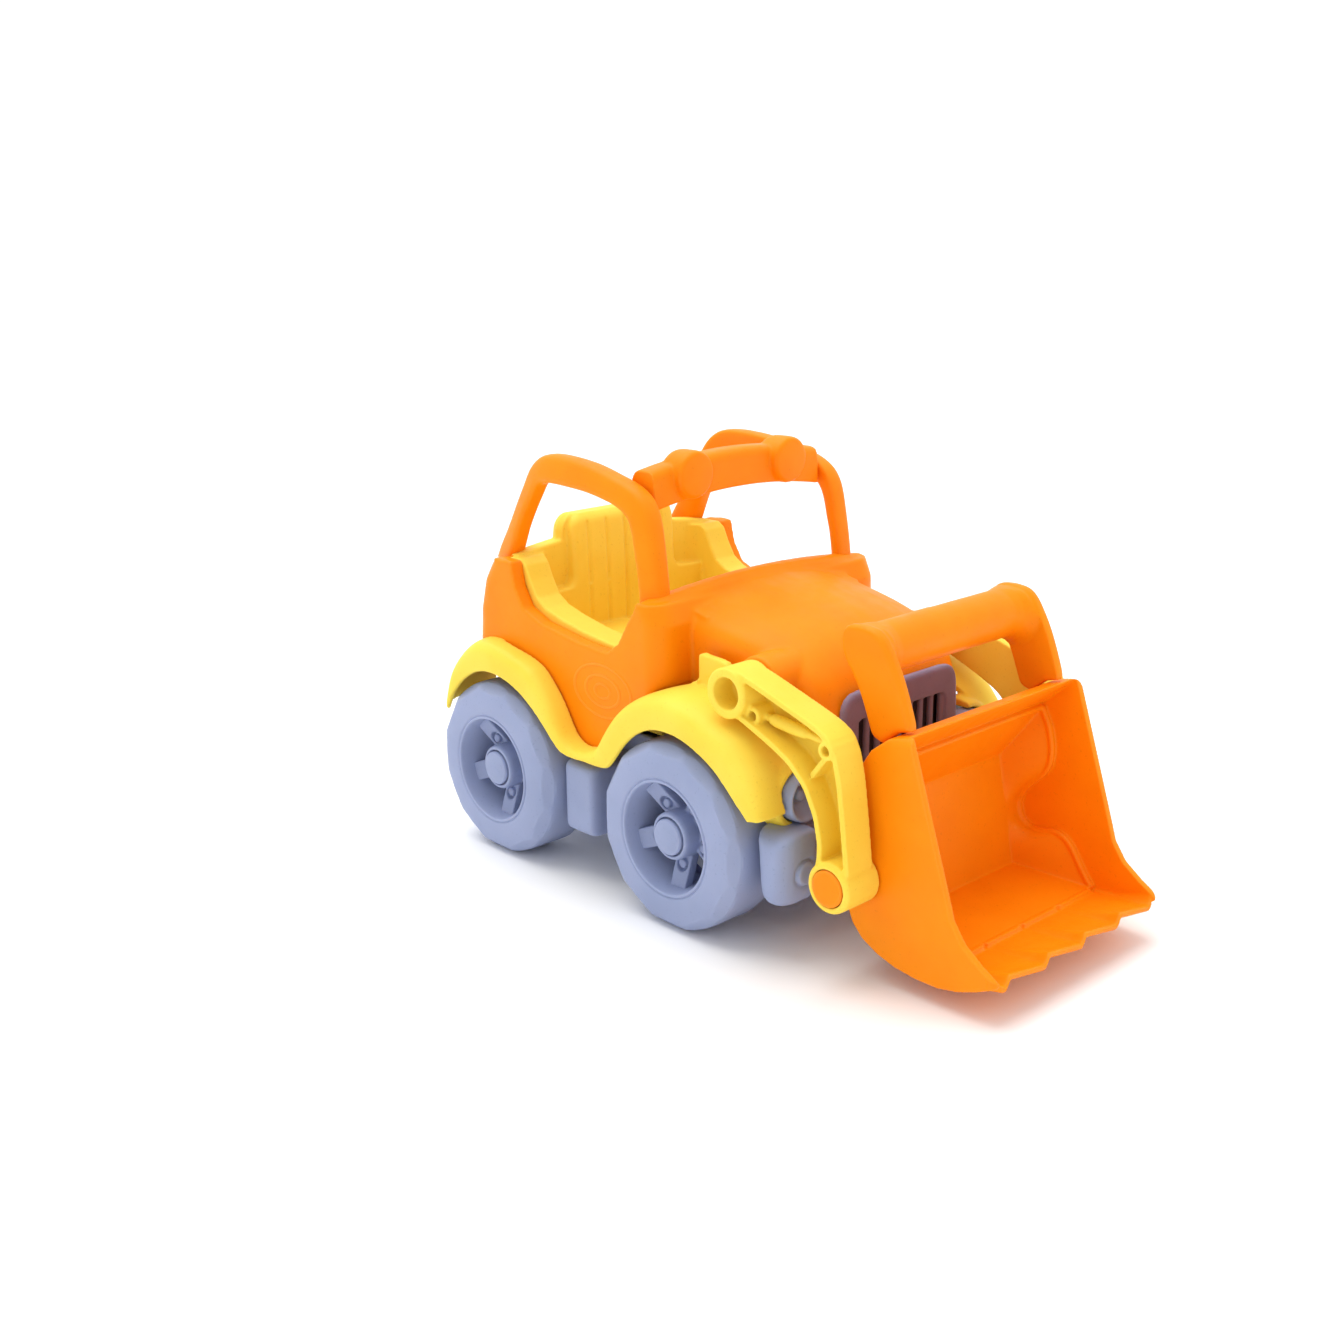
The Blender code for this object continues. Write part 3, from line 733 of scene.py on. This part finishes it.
TUB_FRONT, TUB_IN, RIM_OUT = -24.3, 43.5, 55.4
TUB_RIM = [
    (TUB_REAR, 119.4), (-96.5, 119.6), (-93.2, 117.5), (-90.6, 112), (-86.6, 105.6), (-81, 102.2),
    (-71.3, 99.6), (-58.6, 97.2), (-40.2, 95), (-34, 99.6), (-28.6, 108.6), (TUB_FRONT, 112.5),
]
SEAT_Y, SHELL_Y, SHELF_Z, DECK_REAR = 28, 31.2, 99.5, -107.2
GROOVES = (-20, -10, 0, 10, 20)


def room(x_low, x_high, half, z_low, radius):
    """A space with rounded corners, open at the top."""
    corners = [(x_low, -half), (x_high, -half), (x_high, half), (x_low, half)]
    return slab(rounded(corners, radius, 6), z_low, 140)


def cab_tub():
    """Tub with a broad flat rim, a footwell, a cushion and a grooved seat back with a shell behind it."""
    under = [(TUB_FRONT, 61), (-71.5, 61), (-71.5, 76), (TUB_REAR, 76)]
    below = [(TUB_REAR - 5, 116.6)] + [(x, z - 9) for x, z in TUB_RIM[1:-1]]
    below += [(TUB_FRONT + 5, 109.7), (TUB_FRONT + 5, 50), (TUB_REAR - 5, 50)]
    cuts = [room(-96.4, TUB_FRONT - 2.4, TUB_IN, 63.5, 4),
            room(-100.6, -62, TUB_IN, SHELF_Z, [7, 0.5, 0.5, 7])]
    for side in (-1, 1):
        cuts.append(prism(below, side * (TUB_IN + 2.8), side * 62))
    wall = []
    for k in range(25):
        y = -53 + 106 * k / 24
        top = 124.6 - 4.4 * (y / 53) ** 2
        wall.append([(DECK_REAR, y, 119.5), (DECK_REAR, y, top - 0.6), (DECK_REAR + 0.6, y, top),
                     (-100.9, y, top), (-100.3, y, top - 0.7), (-100.4, y, 112), (-102, y, 112)])
    pad = []
    for k in range(45):
        z = 80.0 + 53.0 * k / 44
        x_high = -95.3 - 1.6 * max(0, (z - 100) / 33) ** 2 - 3.2 * max(0, (z - 127.5) / 5.5) ** 3
        half = SEAT_Y
        if z <= 103.4:
            half = TUB_IN
        elif z < 109:
            half = min(TUB_IN, SEAT_Y + 6.0 * eased((109 - z) / 6))
        elif z > 126:
            half = SEAT_Y - 6.0 * eased((z - 126) / 7.2)
        front = []
        for i in range(-60, 61):
            y = half * i / 60
            edge = 1.6 * max(0, (abs(y) - (half - 2.5)) / 2.5) ** 2 if z > 103 else 0.0
            groove = sum(1.3 * max(0, 1 - abs(y - g) / 1.1) for g in GROOVES) if z < 130 else 0.0
            front.append((x_high - edge - groove, y, z))
        pad.append([(-101.6, -half, z)] + front + [(-101.6, half, z)])
    shell = []
    for z in (121, 124, 127, 129, 130.6, 131.8, 132.6, 133):
        half = SHELL_Y - 8.0 * eased(max(0, z - 125) / 8.4)
        slim = 0.9 * max(0, (z - 130.4) / 2.6) ** 2
        rear, front = DECK_REAR + slim, -100.6 - slim
        shell.append([(rear, -half + 1, z), (rear, half - 1, z), (-104, half, z),
                      (front, half - 0.6, z), (front, 0.6 - half, z), (-104, -half, z)])
    cushion = []
    for k in range(41):
        y = (TUB_IN - 0.2) * (k - 20) / 20
        top = 86.0 - 0.6 * sum(max(0, 1 - abs(y - g) / 0.8) for g in GROOVES)
        cushion.append([(-98, y, 77), (-98, y, top), (-74.5, y, top), (-71, y, top - 1),
                        (-70, y, top - 3.2), (-70.2, y, 61.4), (-72.6, y, 61.4), (-72.8, y, 77)])
    adds = [prism(TUB_RIM + under, -RIM_OUT, RIM_OUT)]
    extras = [loft(wall), loft(shell), loft(pad), loft(cushion)]
    piece = moulded("detailed_cab_tub", adds, cuts, extras, voxel=0.55, soften=2, keep=0.3)
    finish_piece(piece, "cab_tub")


# ---- fenders

# fender stations: x and z of the outer arch edge, then x, half width and z where the top meets the body
FENDER = [
    (-128.5, 54, -129.5, 46, 60), (-124, 62, -127, 46, 71.5), (-117, 69, -121, 46, 80),
    (-107, 74.6, -110, 57, 86.5), (-97.4, 76, -97.4, 62.2, 86.8), (-87, 74.6, -84.5, 62.2, 84.5),
    (-77.4, 70.9, -73.5, 62.2, 81), (-66.5, 63.4, -62, 62.2, 69.5), (-58.5, 56.2, -55, 62.2, 59),
    (-53.5, 53.1, -50.5, 62.2, 56), (-41, 53, -43.5, 62.2, 56), (-29.5, 53.3, -36.8, 62.2, 58.5),
    (-25.3, 56.2, -32, 62.2, 65.5), (-19.2, 63.8, -26, 62.2, 73.5), (-12.1, 70.4, -18, 62.2, 80.5),
    (-4.1, 74.4, -8.5, 58, 85.8), (4.8, 75.6, 2, 47, 88.3), (12.5, 74.8, 13, 45.2, 87.2),
    (20.5, 72.2, 24, 44.8, 83.2), (29.5, 67.5, 35, 45.5, 79.5), (37, 61, 43.5, 51, 71.5),
    (42, 56.5, 49, 58.5, 62), (45.5, 53.3, 51.5, 58.5, 54.2),
]
FENDER_Y, FENDER_WALL = 72, 2.4
STOP_X, STOP_TOP = (0.8, 17), 99.8


def fenders():
    """Wave-shaped guard: an upright lip that rolls over into a broad top, with a stop block on it."""
    section = spline([(0, 0, 0), (0.3, 0, 0.06), (0.52, 0.02, 0.3), (0.72, 0.07, 0.75), (0.87, 0.18, 1.1),
                      (0.96, 0.36, 1.35), (1, 0.65, 1.5), (1, 1, 1.57)], 3)
    rings = []
    for x_lip, z_lip, x_top, y_top, z_top in spline(FENDER, 5):
        outside, inside = [], []
        length = hypot(x_top - x_lip, z_top - z_lip)
        for up, over, turn in section:
            x, z = x_lip + (x_top - x_lip) * up, z_lip + (z_top - z_lip) * up
            y = FENDER_Y - (FENDER_Y - y_top) * over
            outside.append((x, -y, z))
            drop = FENDER_WALL * sin(turn)
            inside.append((x - (x_top - x_lip) / length * drop, -max(y - FENDER_WALL * cos(turn), y_top),
                           z - (z_top - z_lip) / length * drop))
        lip = outside[0]
        under = (lip[0] - (x_top - x_lip) / length * 0.5, (lip[1] + inside[0][1]) / 2,
                 lip[2] - (z_top - z_lip) / length * 0.5)
        rings.append([under] + outside + inside[::-1])
    stop = rounded([(STOP_X[0], 82), (STOP_X[0], STOP_TOP), (STOP_X[1] - 2, STOP_TOP - 1), (STOP_X[1], 95),
                    (STOP_X[1], 82)], [0, 2, 2, 2, 0])
    crescent = []
    for k in range(19):
        a = radians(80 + 175 * k / 18)
        crescent.append([(x, HEADLIGHT[0] + r * cos(a), HEADLIGHT[1] + r * sin(a)) for x, r in
                         ((40.5, 9.6), (47.6, 9.6), (48.4, 9.9), (48.8, 10.6), (48.6, 11.6), (47.6, 12.4),
                          (40.5, 13.4))])
    foot = [(STOP_X[0] - 2, 80), (STOP_X[0] - 2, 88.6), (STOP_X[0] + 1, 90), (STOP_X[0] + 1, 80)]
    piece = moulded("detailed_right_fender", [loft(rings)],
                    extras=[prism(stop, -48.2, -51.4), prism(foot, -48.2, -53), loft(crescent)],
                    voxel=0.6, soften=3, keep=0.35)
    pair(piece, "fender")


# ---- front and underside

SLOTS, SLOT_STEP = 9, 6.0


def grille():
    """Frame with rounded corners around upright bars that are set back from it, and a near-black sheet behind them
    that paints the shade in the gaps.
    """
    def outline(less):
        low, high = 34 - less, 31.5 - less
        return rounded([(low, 48), (high, 90.5 - less), (-high, 90.5 - less), (-low, 48)], [0, 8, 8, 0], 8)

    rings = []
    for x, less in ((50.9, 0), (52.6, 0), (53.3, 0.5), (53.7, 1.6)):
        rings.append([(x, y, z) for y, z in outline(less)])
    window = []
    for x, less in ((49, 0), (54.5, -0.6)):
        low, high = 26.6 + less, 25.6 + less
        corners = [(low, 54), (high, 80.5), (-high, 80.5), (-low, 54)]
        window.append([(x, y, z) for y, z in rounded(corners, [2, 4, 4, 2])])
    bar = ((50.9, -1.2), (52.4, -1.1), (52.9, -0.6), (52.9, 0.6), (52.4, 1.1), (50.9, 1.2))
    bars = []
    for k in range(SLOTS):
        y = SLOT_STEP * (k - (SLOTS - 1) / 2)
        bars.append(loft([[(x, y + w, z) for x, w in bar] for z in (52.5, 82)]))
    piece = moulded("detailed_grille", [loft(rings)], [loft(window)], bars, voxel=0.5, soften=3, keep=0.5)
    finish_piece(piece, "grille")
    # painted shade: a near-black sheet behind the bars stands for the shadow in the grille's gaps, not for a real
    # part
    corners = rounded([(29, 52), (28, 83), (-28, 83), (-29, 52)], 3)
    gap_shade = raw(*loft([[(x, y, z) for y, z in corners] for x in (46, 46.4, 47.4)]), "grille_backing")
    smooth(gap_shade)
    gap_shade.data.materials.append(MATERIALS["shadowed_plastic"])
    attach(gap_shade, "body")


HEADLIGHT = (-48.6, 57.6)


def headlights():
    """Lamp cup: a rounded rim round a deep conical reflector with a small domed bulb."""
    profile = [(41.5, 0.5), (41.5, 7.4), (42.4, 8.2), (44.5, 9.1), (50.5, 9.1), (52, 8.8),
               (52.5, 8.3), (52.3, 7.7), (51.4, 7), (48.2, 4.6), (46.9, 3.1), (46.6, 2.4),
               (48.4, 2.2), (49.3, 1.5), (49.6, 0.4)]
    rings = [ring_x(x, *HEADLIGHT, r, 40) for x, r in spline(profile, 2)]
    piece = smooth(raw(*loft(rings), "detailed_right_headlight"), 50)
    pair(piece, "headlight")


def chassis():
    """Floor pan with a grooved panel and studs underneath, ribs, and plates that carry each axle."""
    pan = rounded([(-118, 24), (-112, 20), (34, 20), (41, 26), (41, 56), (-118, 56)], [3, 4, 4, 3, 1, 1])
    cuts = [box(-115.4, 38.4, WALL - CHASSIS_Y, CHASSIS_Y - WALL, 22.8, 70)]
    for x in (FRONT_X, REAR_X):
        cuts.append(prism(circle(x, AXLE_Z, 3.7, 24), -60, 60))
    panel = rounded([(-74, -30), (-18, -30), (-18, 30), (-74, 30)], 6)
    groove = inset(panel, 1.6)
    cuts.append(slab(panel, 18, 20.9))
    adds = [prism(pan, -CHASSIS_Y, CHASSIS_Y)]
    extras = [slab(groove, 20.1, 21.6)]
    for side in (-1, 1):
        extras.append(box(-117.6, -76.5, *sorted((side * (CHASSIS_Y - 1.8), side * CHASSIS_Y)), 50, 75.4))
    for x in (-62, -46, -30):
        extras.append(box(x - 0.9, x + 0.9, -25, 25, 20.2, 22))
    for x in (FRONT_X, REAR_X):
        for y in (-24, 24):
            extras.append(box(x - 6.5, x + 6.5, y - 1.3, y + 1.3, 22, 31.2))
    for x in (-90, -2):
        for y in (-18, 18):
            extras.append(slab(circle(x, y, 4.2, 24), 22, 20.3))
    piece = moulded("detailed_chassis", adds, cuts, extras, voxel=0.75, soften=4, keep=0.3)
    finish_piece(piece, "chassis")


BOSS_Y, BOSS_Z = 54.6, 33


def block(levels, outline, radii):
    """A side block lofted outward along -Y; each level is (distance from the middle, inset)."""
    return loft([[(x, -y, z) for x, z in rounded(inset(outline, less) if less else outline, radii)]
                 for y, less in levels])


def steps():
    outline = [(-60, 19), (-42.4, 19), (-42.4, 47.8), (-60, 47.8)]
    levels = [(CHASSIS_Y + GAP, 0), (62.5, 0), (64.4, 0.35), (65.6, 1.1), (66.2, 2.2)]
    piece = moulded("detailed_right_step", [block(levels, outline, 2.5)], voxel=0.6, soften=4, keep=0.4)
    pair(piece, "step")


def front_bumper():
    """Bumper bar with a corner block in front of each tyre; a round boss stands in a ring on each block."""
    outline = [(43.6, 24), (48.4, 19.6), (56.8, 22), (57.6, 48.4), (41.6, 48.4)]
    levels = [(49.4, 0.6), (50.2, 0), (57.5, 0), (60.8, 0.4), (63, 1.2), (64.8, 2.4),
              (65.9, 3.8), (66.4, 5.4)]
    bar = prism(rounded([(41.3, 24), (45, 22), (46, 44), (41.3, 46)], 1.2), -52, 52)
    first = block(levels, outline, [5, 5, 7, 2.5, 1.5])
    pits, bosses = [], []
    for side in (-1, 1):
        for shapes, ends in ((pits, ((56.2, 5.6), (60, 5.8))), (bosses, ((50, 4.5), (57.9, 4.2)))):
            shapes.append(loft([ring_x(x, side * BOSS_Y, BOSS_Z, r, 36) for x, r in ends]))
    piece = moulded("detailed_front_bumper", [bar, first, mirrored(first)], pits, bosses, 0.6, 3, 0.4)
    finish_piece(piece, "front_bumper")


# ---- lift arms

ARM_TOP = [
    (29, 102.8), (33.5, 102.2), (42, 99.8), (52.3, 96.6), (62, 93.6), (70, 90.9),
    (75.2, 88), (78.2, 82.8), (80.4, 74), (82.4, 60), (84.6, 42),
]
ARM_UNDER = [
    (69.8, 40), (70.6, 50), (68.6, 59.5), (64, 68.5), (57, 75), (50, 78.6), (43, 81.6),
    (34, 85.2), (24, 88),
]
ARM_IN, ARM_OUT, ARM_LIP = 52, 66, 64.6
TUBE_R, BORE_R, PIN_R = 9, 5.75, 6.4
FLANGE = 2.1
# places of the cylinder's two small bosses, and the foot of the rib under the second
SMALL, ELBOW, RIB_FOOT = (38.6, 87.2), (73.9, 84), (64.6, 72)
ROD_Y = -58.6


def arms():
    """Channel-section arm with a pivot tube, a scoop boss, and a moulded-on cylinder between two bosses."""
    outline = rounded(ARM_TOP + ARM_UNDER, 2, 2)
    pocket = rounded(inset(ARM_TOP + ARM_UNDER, FLANGE), 2, 2)
    adds = [prism(outline, -ARM_IN, -ARM_LIP),
            prism(circle(*PIVOT, TUBE_R, 48), -(ARM_IN - 1.4), -ARM_OUT, 0.8),
            prism(circle(*PIN, TUBE_R, 48), -(SCOOP_Y + 0.6), -ARM_OUT, 1.6)]
    cuts = [prism(pocket, -(ARM_IN + 2.4), -80), prism(circle(*PIVOT, BORE_R, 48), -40, -90),
            prism(circle(*PIN, PIN_R + GAP, 48), -40, -90)]
    tube = [(-(ARM_IN + 1), BORE_R), (-ARM_OUT + 0.8, BORE_R), (-ARM_OUT, BORE_R + 0.6),
            (-ARM_OUT, TUBE_R - 0.8), (-ARM_OUT + 0.8, TUBE_R), (-(ARM_IN + 1), TUBE_R)]
    boss = [(-(ARM_IN - 0.9), PIN_R + GAP), (-ARM_OUT, PIN_R + GAP), (-ARM_OUT, TUBE_R - 1.5),
            (-ARM_OUT + 1.4, TUBE_R), (-(ARM_IN - 0.9), TUBE_R)]
    extras = [turned(*PIVOT, tube, 48), turned(*PIN, boss, 48),
              prism(circle(*PIVOT, BORE_R + 0.5, 32), -54.8, -56.2)]
    for (x, z), radius, top in ((SMALL, 3.4, 62.6), (ELBOW, 3.3, 65.2)):
        profile = [(-53.5, 0.9), (-top + 5, 0.9), (-top + 4.6, 1.7), (-top, 1.8), (-top, radius - 0.4),
                   (-top + 0.6, radius), (-53.5, radius)]
        extras.append(turned(x, z, profile, 28))
    cylinder = [(0, 1.3), (0.1, 1.3), (0.12, 1.9), (0.2, 2.3), (0.45, 2.3), (0.62, 1.9), (0.66, 1.3),
                (1, 1.2)]
    extras.append(rod((SMALL[0] + 2.4, ROD_Y, SMALL[1] - 0.1), (ELBOW[0] - 2.4, ROD_Y, ELBOW[1] + 0.2),
                      cylinder))
    along = Vector((RIB_FOOT[0] - ELBOW[0], RIB_FOOT[1] - ELBOW[1])).normalized()
    across = Vector((-along.y, along.x)) * 0.95
    rib = [(ELBOW[0] + across.x, ELBOW[1] + across.y), (RIB_FOOT[0] + across.x, RIB_FOOT[1] + across.y),
           (RIB_FOOT[0] - across.x, RIB_FOOT[1] - across.y), (ELBOW[0] - across.x, ELBOW[1] - across.y)]
    extras.append(prism(rib, -53.5, -61.5))
    piece = moulded("detailed_right_arm", adds, cuts, extras, voxel=0.45, soften=3, keep=0.35)
    pair(piece, "arm")
    profile = [(SCOOP_Y + GAP, PIN_R), (65.9, PIN_R), (66.3, PIN_R - 0.25), (66.5, PIN_R - 0.8),
               (66.55, PIN_R - 2), (66.55, 0.8)]
    pin = smooth(raw(*loft([ring_y(-y, *PIN, r) for y, r in profile]), "detailed_right_scoop_pin"), 30)
    pair(pin, "scoop_pin")


# ---- scoop

SCOOP_BACK = [
    (95.4, 89.5), (86.5, 87.3), (79.5, 81.8), (71.9, 70), (67.6, 58), (68, 44),
    (69, 34), (70.6, 25), (73.2, 18.6), (77.6, 13.8), (84.5, 10.2), (92, 8),
    (101, 6.9), (110, 7), (118, 8.6), (125, 11.2),
]
SCOOP_LIP = [(132.4, 14.6), (132.9, 16)]
SCOOP_CHEEK = [(126, 20.2), (119, 25.4), (114.4, 32), (112, 39.5)]
# edge of the raised liner on each side wall, from the top down to the floor
STEP_LINE = spline([
    (82.2, 76.2), (85.6, 69.6), (87.3, 62), (87, 55.4), (84.4, 50.6),
    (80.6, 46.8), (76.4, 42), (74.6, 37), (76.2, 31.2), (80.6, 28.4),
    (86, 28.6), (91.4, 29.4), (95.4, 28.2), (98.4, 25.4), (103.4, 18),
    (107.6, 12.4),
], 3)
TOP_CREASE, HEEL_CREASE = (70.4, 57), (78.4, 15.8)
REAR_HALF, LINER_HALF, FRONT_HALF = 36.8, 45, 46.3
# where each tooth starts across the lip, their usual width, the share that rises, and the height
TEETH = (-43, -21, 0.5, 22, 44)
TOOTH_WIDE, TOOTH_RAMP, TOOTH_RISE = 22, 0.2, 2.8
LIP_X, LIP_TOP = 132.8, 13.8
CORNER_PLAN, CORNER_TOP = 4, 4.5
BEAD_Y = 45.1


def tooth(y):
    """Saw-tooth rise along the lip: it steps up at the start of a tooth and falls away along it."""
    start = max([t for t in TEETH if t <= y], default=TEETH[0] - TOOTH_WIDE)
    share = (y - start) / TOOTH_WIDE
    if share < TOOTH_RAMP:
        return (1 - cos(pi * share / TOOTH_RAMP)) / 2
    return max(0, (1 - share) / (1 - TOOTH_RAMP))


def pipe(line, radius, sides=10):
    """A round bead along a list of 3-D places."""
    rings = []
    for i, place in enumerate(line):
        along = (Vector(line[min(i + 1, len(line) - 1)]) - Vector(line[max(i - 1, 0)])).normalized()
        across = along.orthogonal() if i == 0 else across - along * across.dot(along)
        across.normalize()
        other = along.cross(across)
        rings.append(around(Vector(place), across, other, radius, sides))
    return loft(rings)


def scoop_liner():
    """Hollow behind the liner's edge: flat sloping top, back and floor, side walls that taper to the back."""
    first, last = 3, len(STEP_LINE) - 7
    wide, narrow = [], []
    for shared in ((105, 93), (93.4, 86.2)):
        wide.append(shared)
        narrow.append(shared)
    wide.append(STEP_LINE[0])
    narrow.append(STEP_LINE[0])
    for i, place in enumerate(STEP_LINE):
        share = min(1, max(0, (i - first) / (last - first)))
        wide.append(place)
        narrow.append(tuple(a + (b - a) * share for a, b in zip(TOP_CREASE, HEEL_CREASE)))
    for shared in (STEP_LINE[-1], (118, 13.2), (128, 16), (140, 24)):
        wide.append(shared)
        narrow.append(shared)
    return loft([[(x, y, z) for x, z in side] for y, side in
                 ((-LINER_HALF, wide), (-REAR_HALF, narrow), (REAR_HALF, narrow), (LINER_HALF, wide))])


def scoop():
    """Open scoop with a stepped liner edged by beads, a ridge across the floor and a saw-toothed lip."""
    body = prism(SCOOP_BACK + SCOOP_LIP + SCOOP_CHEEK, -SCOOP_Y, SCOOP_Y)
    rim_step = [(97, 93), (92, 87), (81.2, 77.4)]
    floor_step = [(108.4, 11), (116, 11), (120, 11.4), (120, -5), (140, -5), (140, 93)]
    front = prism(rim_step + STEP_LINE + floor_step, -FRONT_HALF, FRONT_HALF)
    cuts = [scoop_liner(), front]
    for side in (-1, 1):
        edge = SCOOP_Y - CORNER_PLAN
        arc = [(129.1 + CORNER_PLAN * sin(k * pi / 16), side * (edge + CORNER_PLAN * cos(k * pi / 16)))
               for k in range(9)]
        cuts.append(slab(arc + [(140, side * edge), (140, side * 52), (129.1, side * 52)], 4, 24))
        edge = SCOOP_Y - CORNER_TOP
        arc = [(side * (edge + CORNER_TOP * sin(k * pi / 16)), 85.2 + CORNER_TOP * cos(k * pi / 16))
               for k in range(9)]
        arc += [(side * 52, 85.2), (side * 52, 95), (side * edge, 95)]
        cuts.append(loft([[(x, y, z) for y, z in arc] for x in (84, 110)]))
    lip = []
    for k in range(193):
        y = -SCOOP_Y + 1.2 + (2 * SCOOP_Y - 2.4) * k / 192
        rise = TOOTH_RISE * tooth(y)
        end = min(1, (SCOOP_Y - abs(y)) / 6)
        x_edge = LIP_X - 0.25 * rise - 2.6 * (1 - end) ** 2
        top = LIP_TOP + 2.4 * (1 - end)
        lip.append([(108.6, y, 9), (108.8, y, 11.5), (111, y, 11.5 + 0.1 * rise),
                    (118, y, 11.9 + 0.4 * rise),
                    (x_edge - 5, y, top - 0.8 + 0.8 * rise), (x_edge - 1, y, top + rise),
                    (x_edge - 0.2, y, top - 0.3 + rise), (x_edge, y, top - 1.0 + rise),
                    (x_edge - 0.4, y, top - 2.0 + rise), (x_edge - 1.6, y, top - 2.6 + rise),
                    (120, y, 9.6), (115, y, 8.2)])
    top_x, top_z = STEP_LINE[0]
    beads = [loft(lip), pipe([(top_x, y, top_z) for y in (-BEAD_Y, -20, 20, BEAD_Y)], 1.1)]
    for side in (-1, 1):
        beads.append(pipe([(x, side * BEAD_Y, z) for x, z in STEP_LINE], 1.15))
    floor_x, floor_z = STEP_LINE[-1]
    edges = [-45] + list(TEETH[1:]) + [45]
    for start, stop in zip(edges, edges[1:]):
        if stop - start > 5:
            beads.append(pipe([(floor_x + 0.6, y, floor_z - 0.5) for y in (start + 1, stop - 1)], 1))
    piece = moulded("detailed_scoop", [body], cuts, extras=beads, voxel=0.45, soften=2, keep=0.25)
    finish_piece(piece, "scoop")


HANDLE_BAR, HANDLE_R = (69.5, 111.4), 8.9
UPRIGHT = rounded([(79.9, 82.9), (75.4, 84.4), (69, 100.7), (60.9, 111), (61.6, 120.3), (70, 121.4),
                   (77.8, 120), (83.6, 111), (87.4, 103), (91.3, 92), (91.5, 89.4), (86.2, 88)],
                  [0, 2, 8, 7, 6, 6, 7, 10, 8, 2, 0, 0], 6)


def reach(angle):
    """Distance from the bar's middle to the outline of an upright, in one direction."""
    dx, dz = cos(angle), sin(angle)
    best = 0.0
    for (xa, za), (xb, zb) in zip(UPRIGHT, UPRIGHT[1:] + UPRIGHT[:1]):
        xa, za, xb, zb = xa - HANDLE_BAR[0], za - HANDLE_BAR[1], xb - HANDLE_BAR[0], zb - HANDLE_BAR[1]
        cross = dx * (zb - za) - dz * (xb - xa)
        if abs(cross) > 1e-9:
            far = (xa * (zb - za) - za * (xb - xa)) / cross
            along = (xa * dz - za * dx) / cross
            if far > 0 and -1e-6 <= along <= 1 + 1e-6:
                best = max(best, far)
    return best


def scoop_handle():
    """Round carry bar whose ends flare into two leaf-shaped uprights on the back of the scoop."""
    shapes = [prism(circle(*HANDLE_BAR, HANDLE_R, 64), -41, 41)]
    for way in (-1, 1):
        levels = [(39.9, 0.6), (40.2, 0.1), (40.6, 0), (42.8, 0), (43.6, 0.4), (44, 0.9), (44.2, 1.8)]
        shapes.append(loft([[(x, way * y, z) for x, z in (inset(UPRIGHT, less) if less else UPRIGHT)]
                            for y, less in levels]))
        flare = []
        for y, r in ((30, 8.6), (32.5, HANDLE_R + 0.1), (35.5, HANDLE_R + 0.7), (38, HANDLE_R + 2),
                     (39.8, HANDLE_R + 4), (40.8, HANDLE_R + 6)):
            ring = []
            for a in turns(64):
                far = min(r, max(reach(a) - 0.5, HANDLE_R - 0.6))
                ring.append((HANDLE_BAR[0] + far * cos(a), way * y, HANDLE_BAR[1] + far * sin(a)))
            flare.append(ring)
        shapes.append(loft(flare))
    piece = moulded("detailed_scoop_handle", shapes[:1], extras=shapes[1:], voxel=0.5, soften=2, keep=0.35)
    finish_piece(piece, "scoop_handle")


# ---- build, floor, lights, camera

wheels()
body_shell()
roll_hoops()
roof_light_bar()
cab_tub()
fenders()
grille()
headlights()
chassis()
steps()
front_bumper()
arms()
scoop()
scoop_handle()


FLOOR_HALF = 3.0   # metres


def floor():
    mesh = bpy.data.meshes.new("floor")
    corners = [(x * FLOOR_HALF, y * FLOOR_HALF, 0) for x, y in ((-1, -1), (1, -1), (1, 1), (-1, 1))]
    mesh.from_pydata(corners, [], [(0, 1, 2, 3)])
    plain = bpy.data.materials.new("floor")
    plain.use_nodes = True
    shader = plain.node_tree.nodes["Principled BSDF"]
    shader.inputs["Base Color"].default_value = (0.95, 0.95, 0.95, 1.0)
    shader.inputs["Roughness"].default_value = 0.7
    mesh.materials.append(plain)
    made = placed("floor", mesh)


def lights():
    """White studio: brighter toward one side than the other, with soft light from above."""
    world = bpy.data.worlds.new("studio")
    world.use_nodes = True
    tree = world.node_tree
    background = tree.nodes["Background"]
    background.inputs["Color"].default_value = (1.0, 1.0, 1.0, 1.0)
    place = tree.nodes.new("ShaderNodeTexCoord")
    facing = tree.nodes.new("ShaderNodeVectorMath")
    facing.operation = "DOT_PRODUCT"
    facing.inputs[1].default_value = (-0.73, 0.69, 0.3)
    spread = tree.nodes.new("ShaderNodeMapRange")
    spread.interpolation_type = "SMOOTHSTEP"
    set_range(spread, -0.5, 0.5, 0.8, 1.06)
    tree.links.new(place.outputs["Generated"], facing.inputs[0])
    tree.links.new(facing.outputs["Value"], spread.inputs["Value"])
    tree.links.new(spread.outputs["Result"], background.inputs["Strength"])
    bpy.context.scene.world = world
    sun = bpy.data.lights.new("overhead", "SUN")
    sun.energy, sun.angle = 1.75, radians(50)
    made = placed("overhead", sun)
    made.rotation_mode = "QUATERNION"
    made.rotation_quaternion = Vector((0.28, 0.02, -0.95)).to_track_quat("-Z", "Y")
    bpy.context.scene.view_settings.view_transform = "Standard"


def camera():
    """Main view: azimuth, elevation and roll in degrees, place in millimetres."""
    azimuth, elevation, roll = radians(46.61), radians(16.27), radians(-0.44)
    back = Vector((sin(azimuth) * cos(elevation), -cos(azimuth) * cos(elevation), sin(elevation)))
    right = Vector((cos(azimuth), sin(azimuth), 0))
    up = back.cross(right)
    across = cos(roll) * right + sin(roll) * up
    above = -sin(roll) * right + cos(roll) * up
    view = bpy.data.cameras.new("camera")
    view.sensor_width, view.lens = 36.0, 42.857
    view.shift_x, view.shift_y = -0.0206, 0.0033
    view.clip_start, view.clip_end = 0.01, 20.0
    made = placed("camera", view)
    made.matrix_world = Matrix((across, above, back)).transposed().to_4x4()
    made.location = Vector((391.3, -425.9, 253.4)) * MM
    bpy.context.scene.camera = made


floor()
lights()
camera()
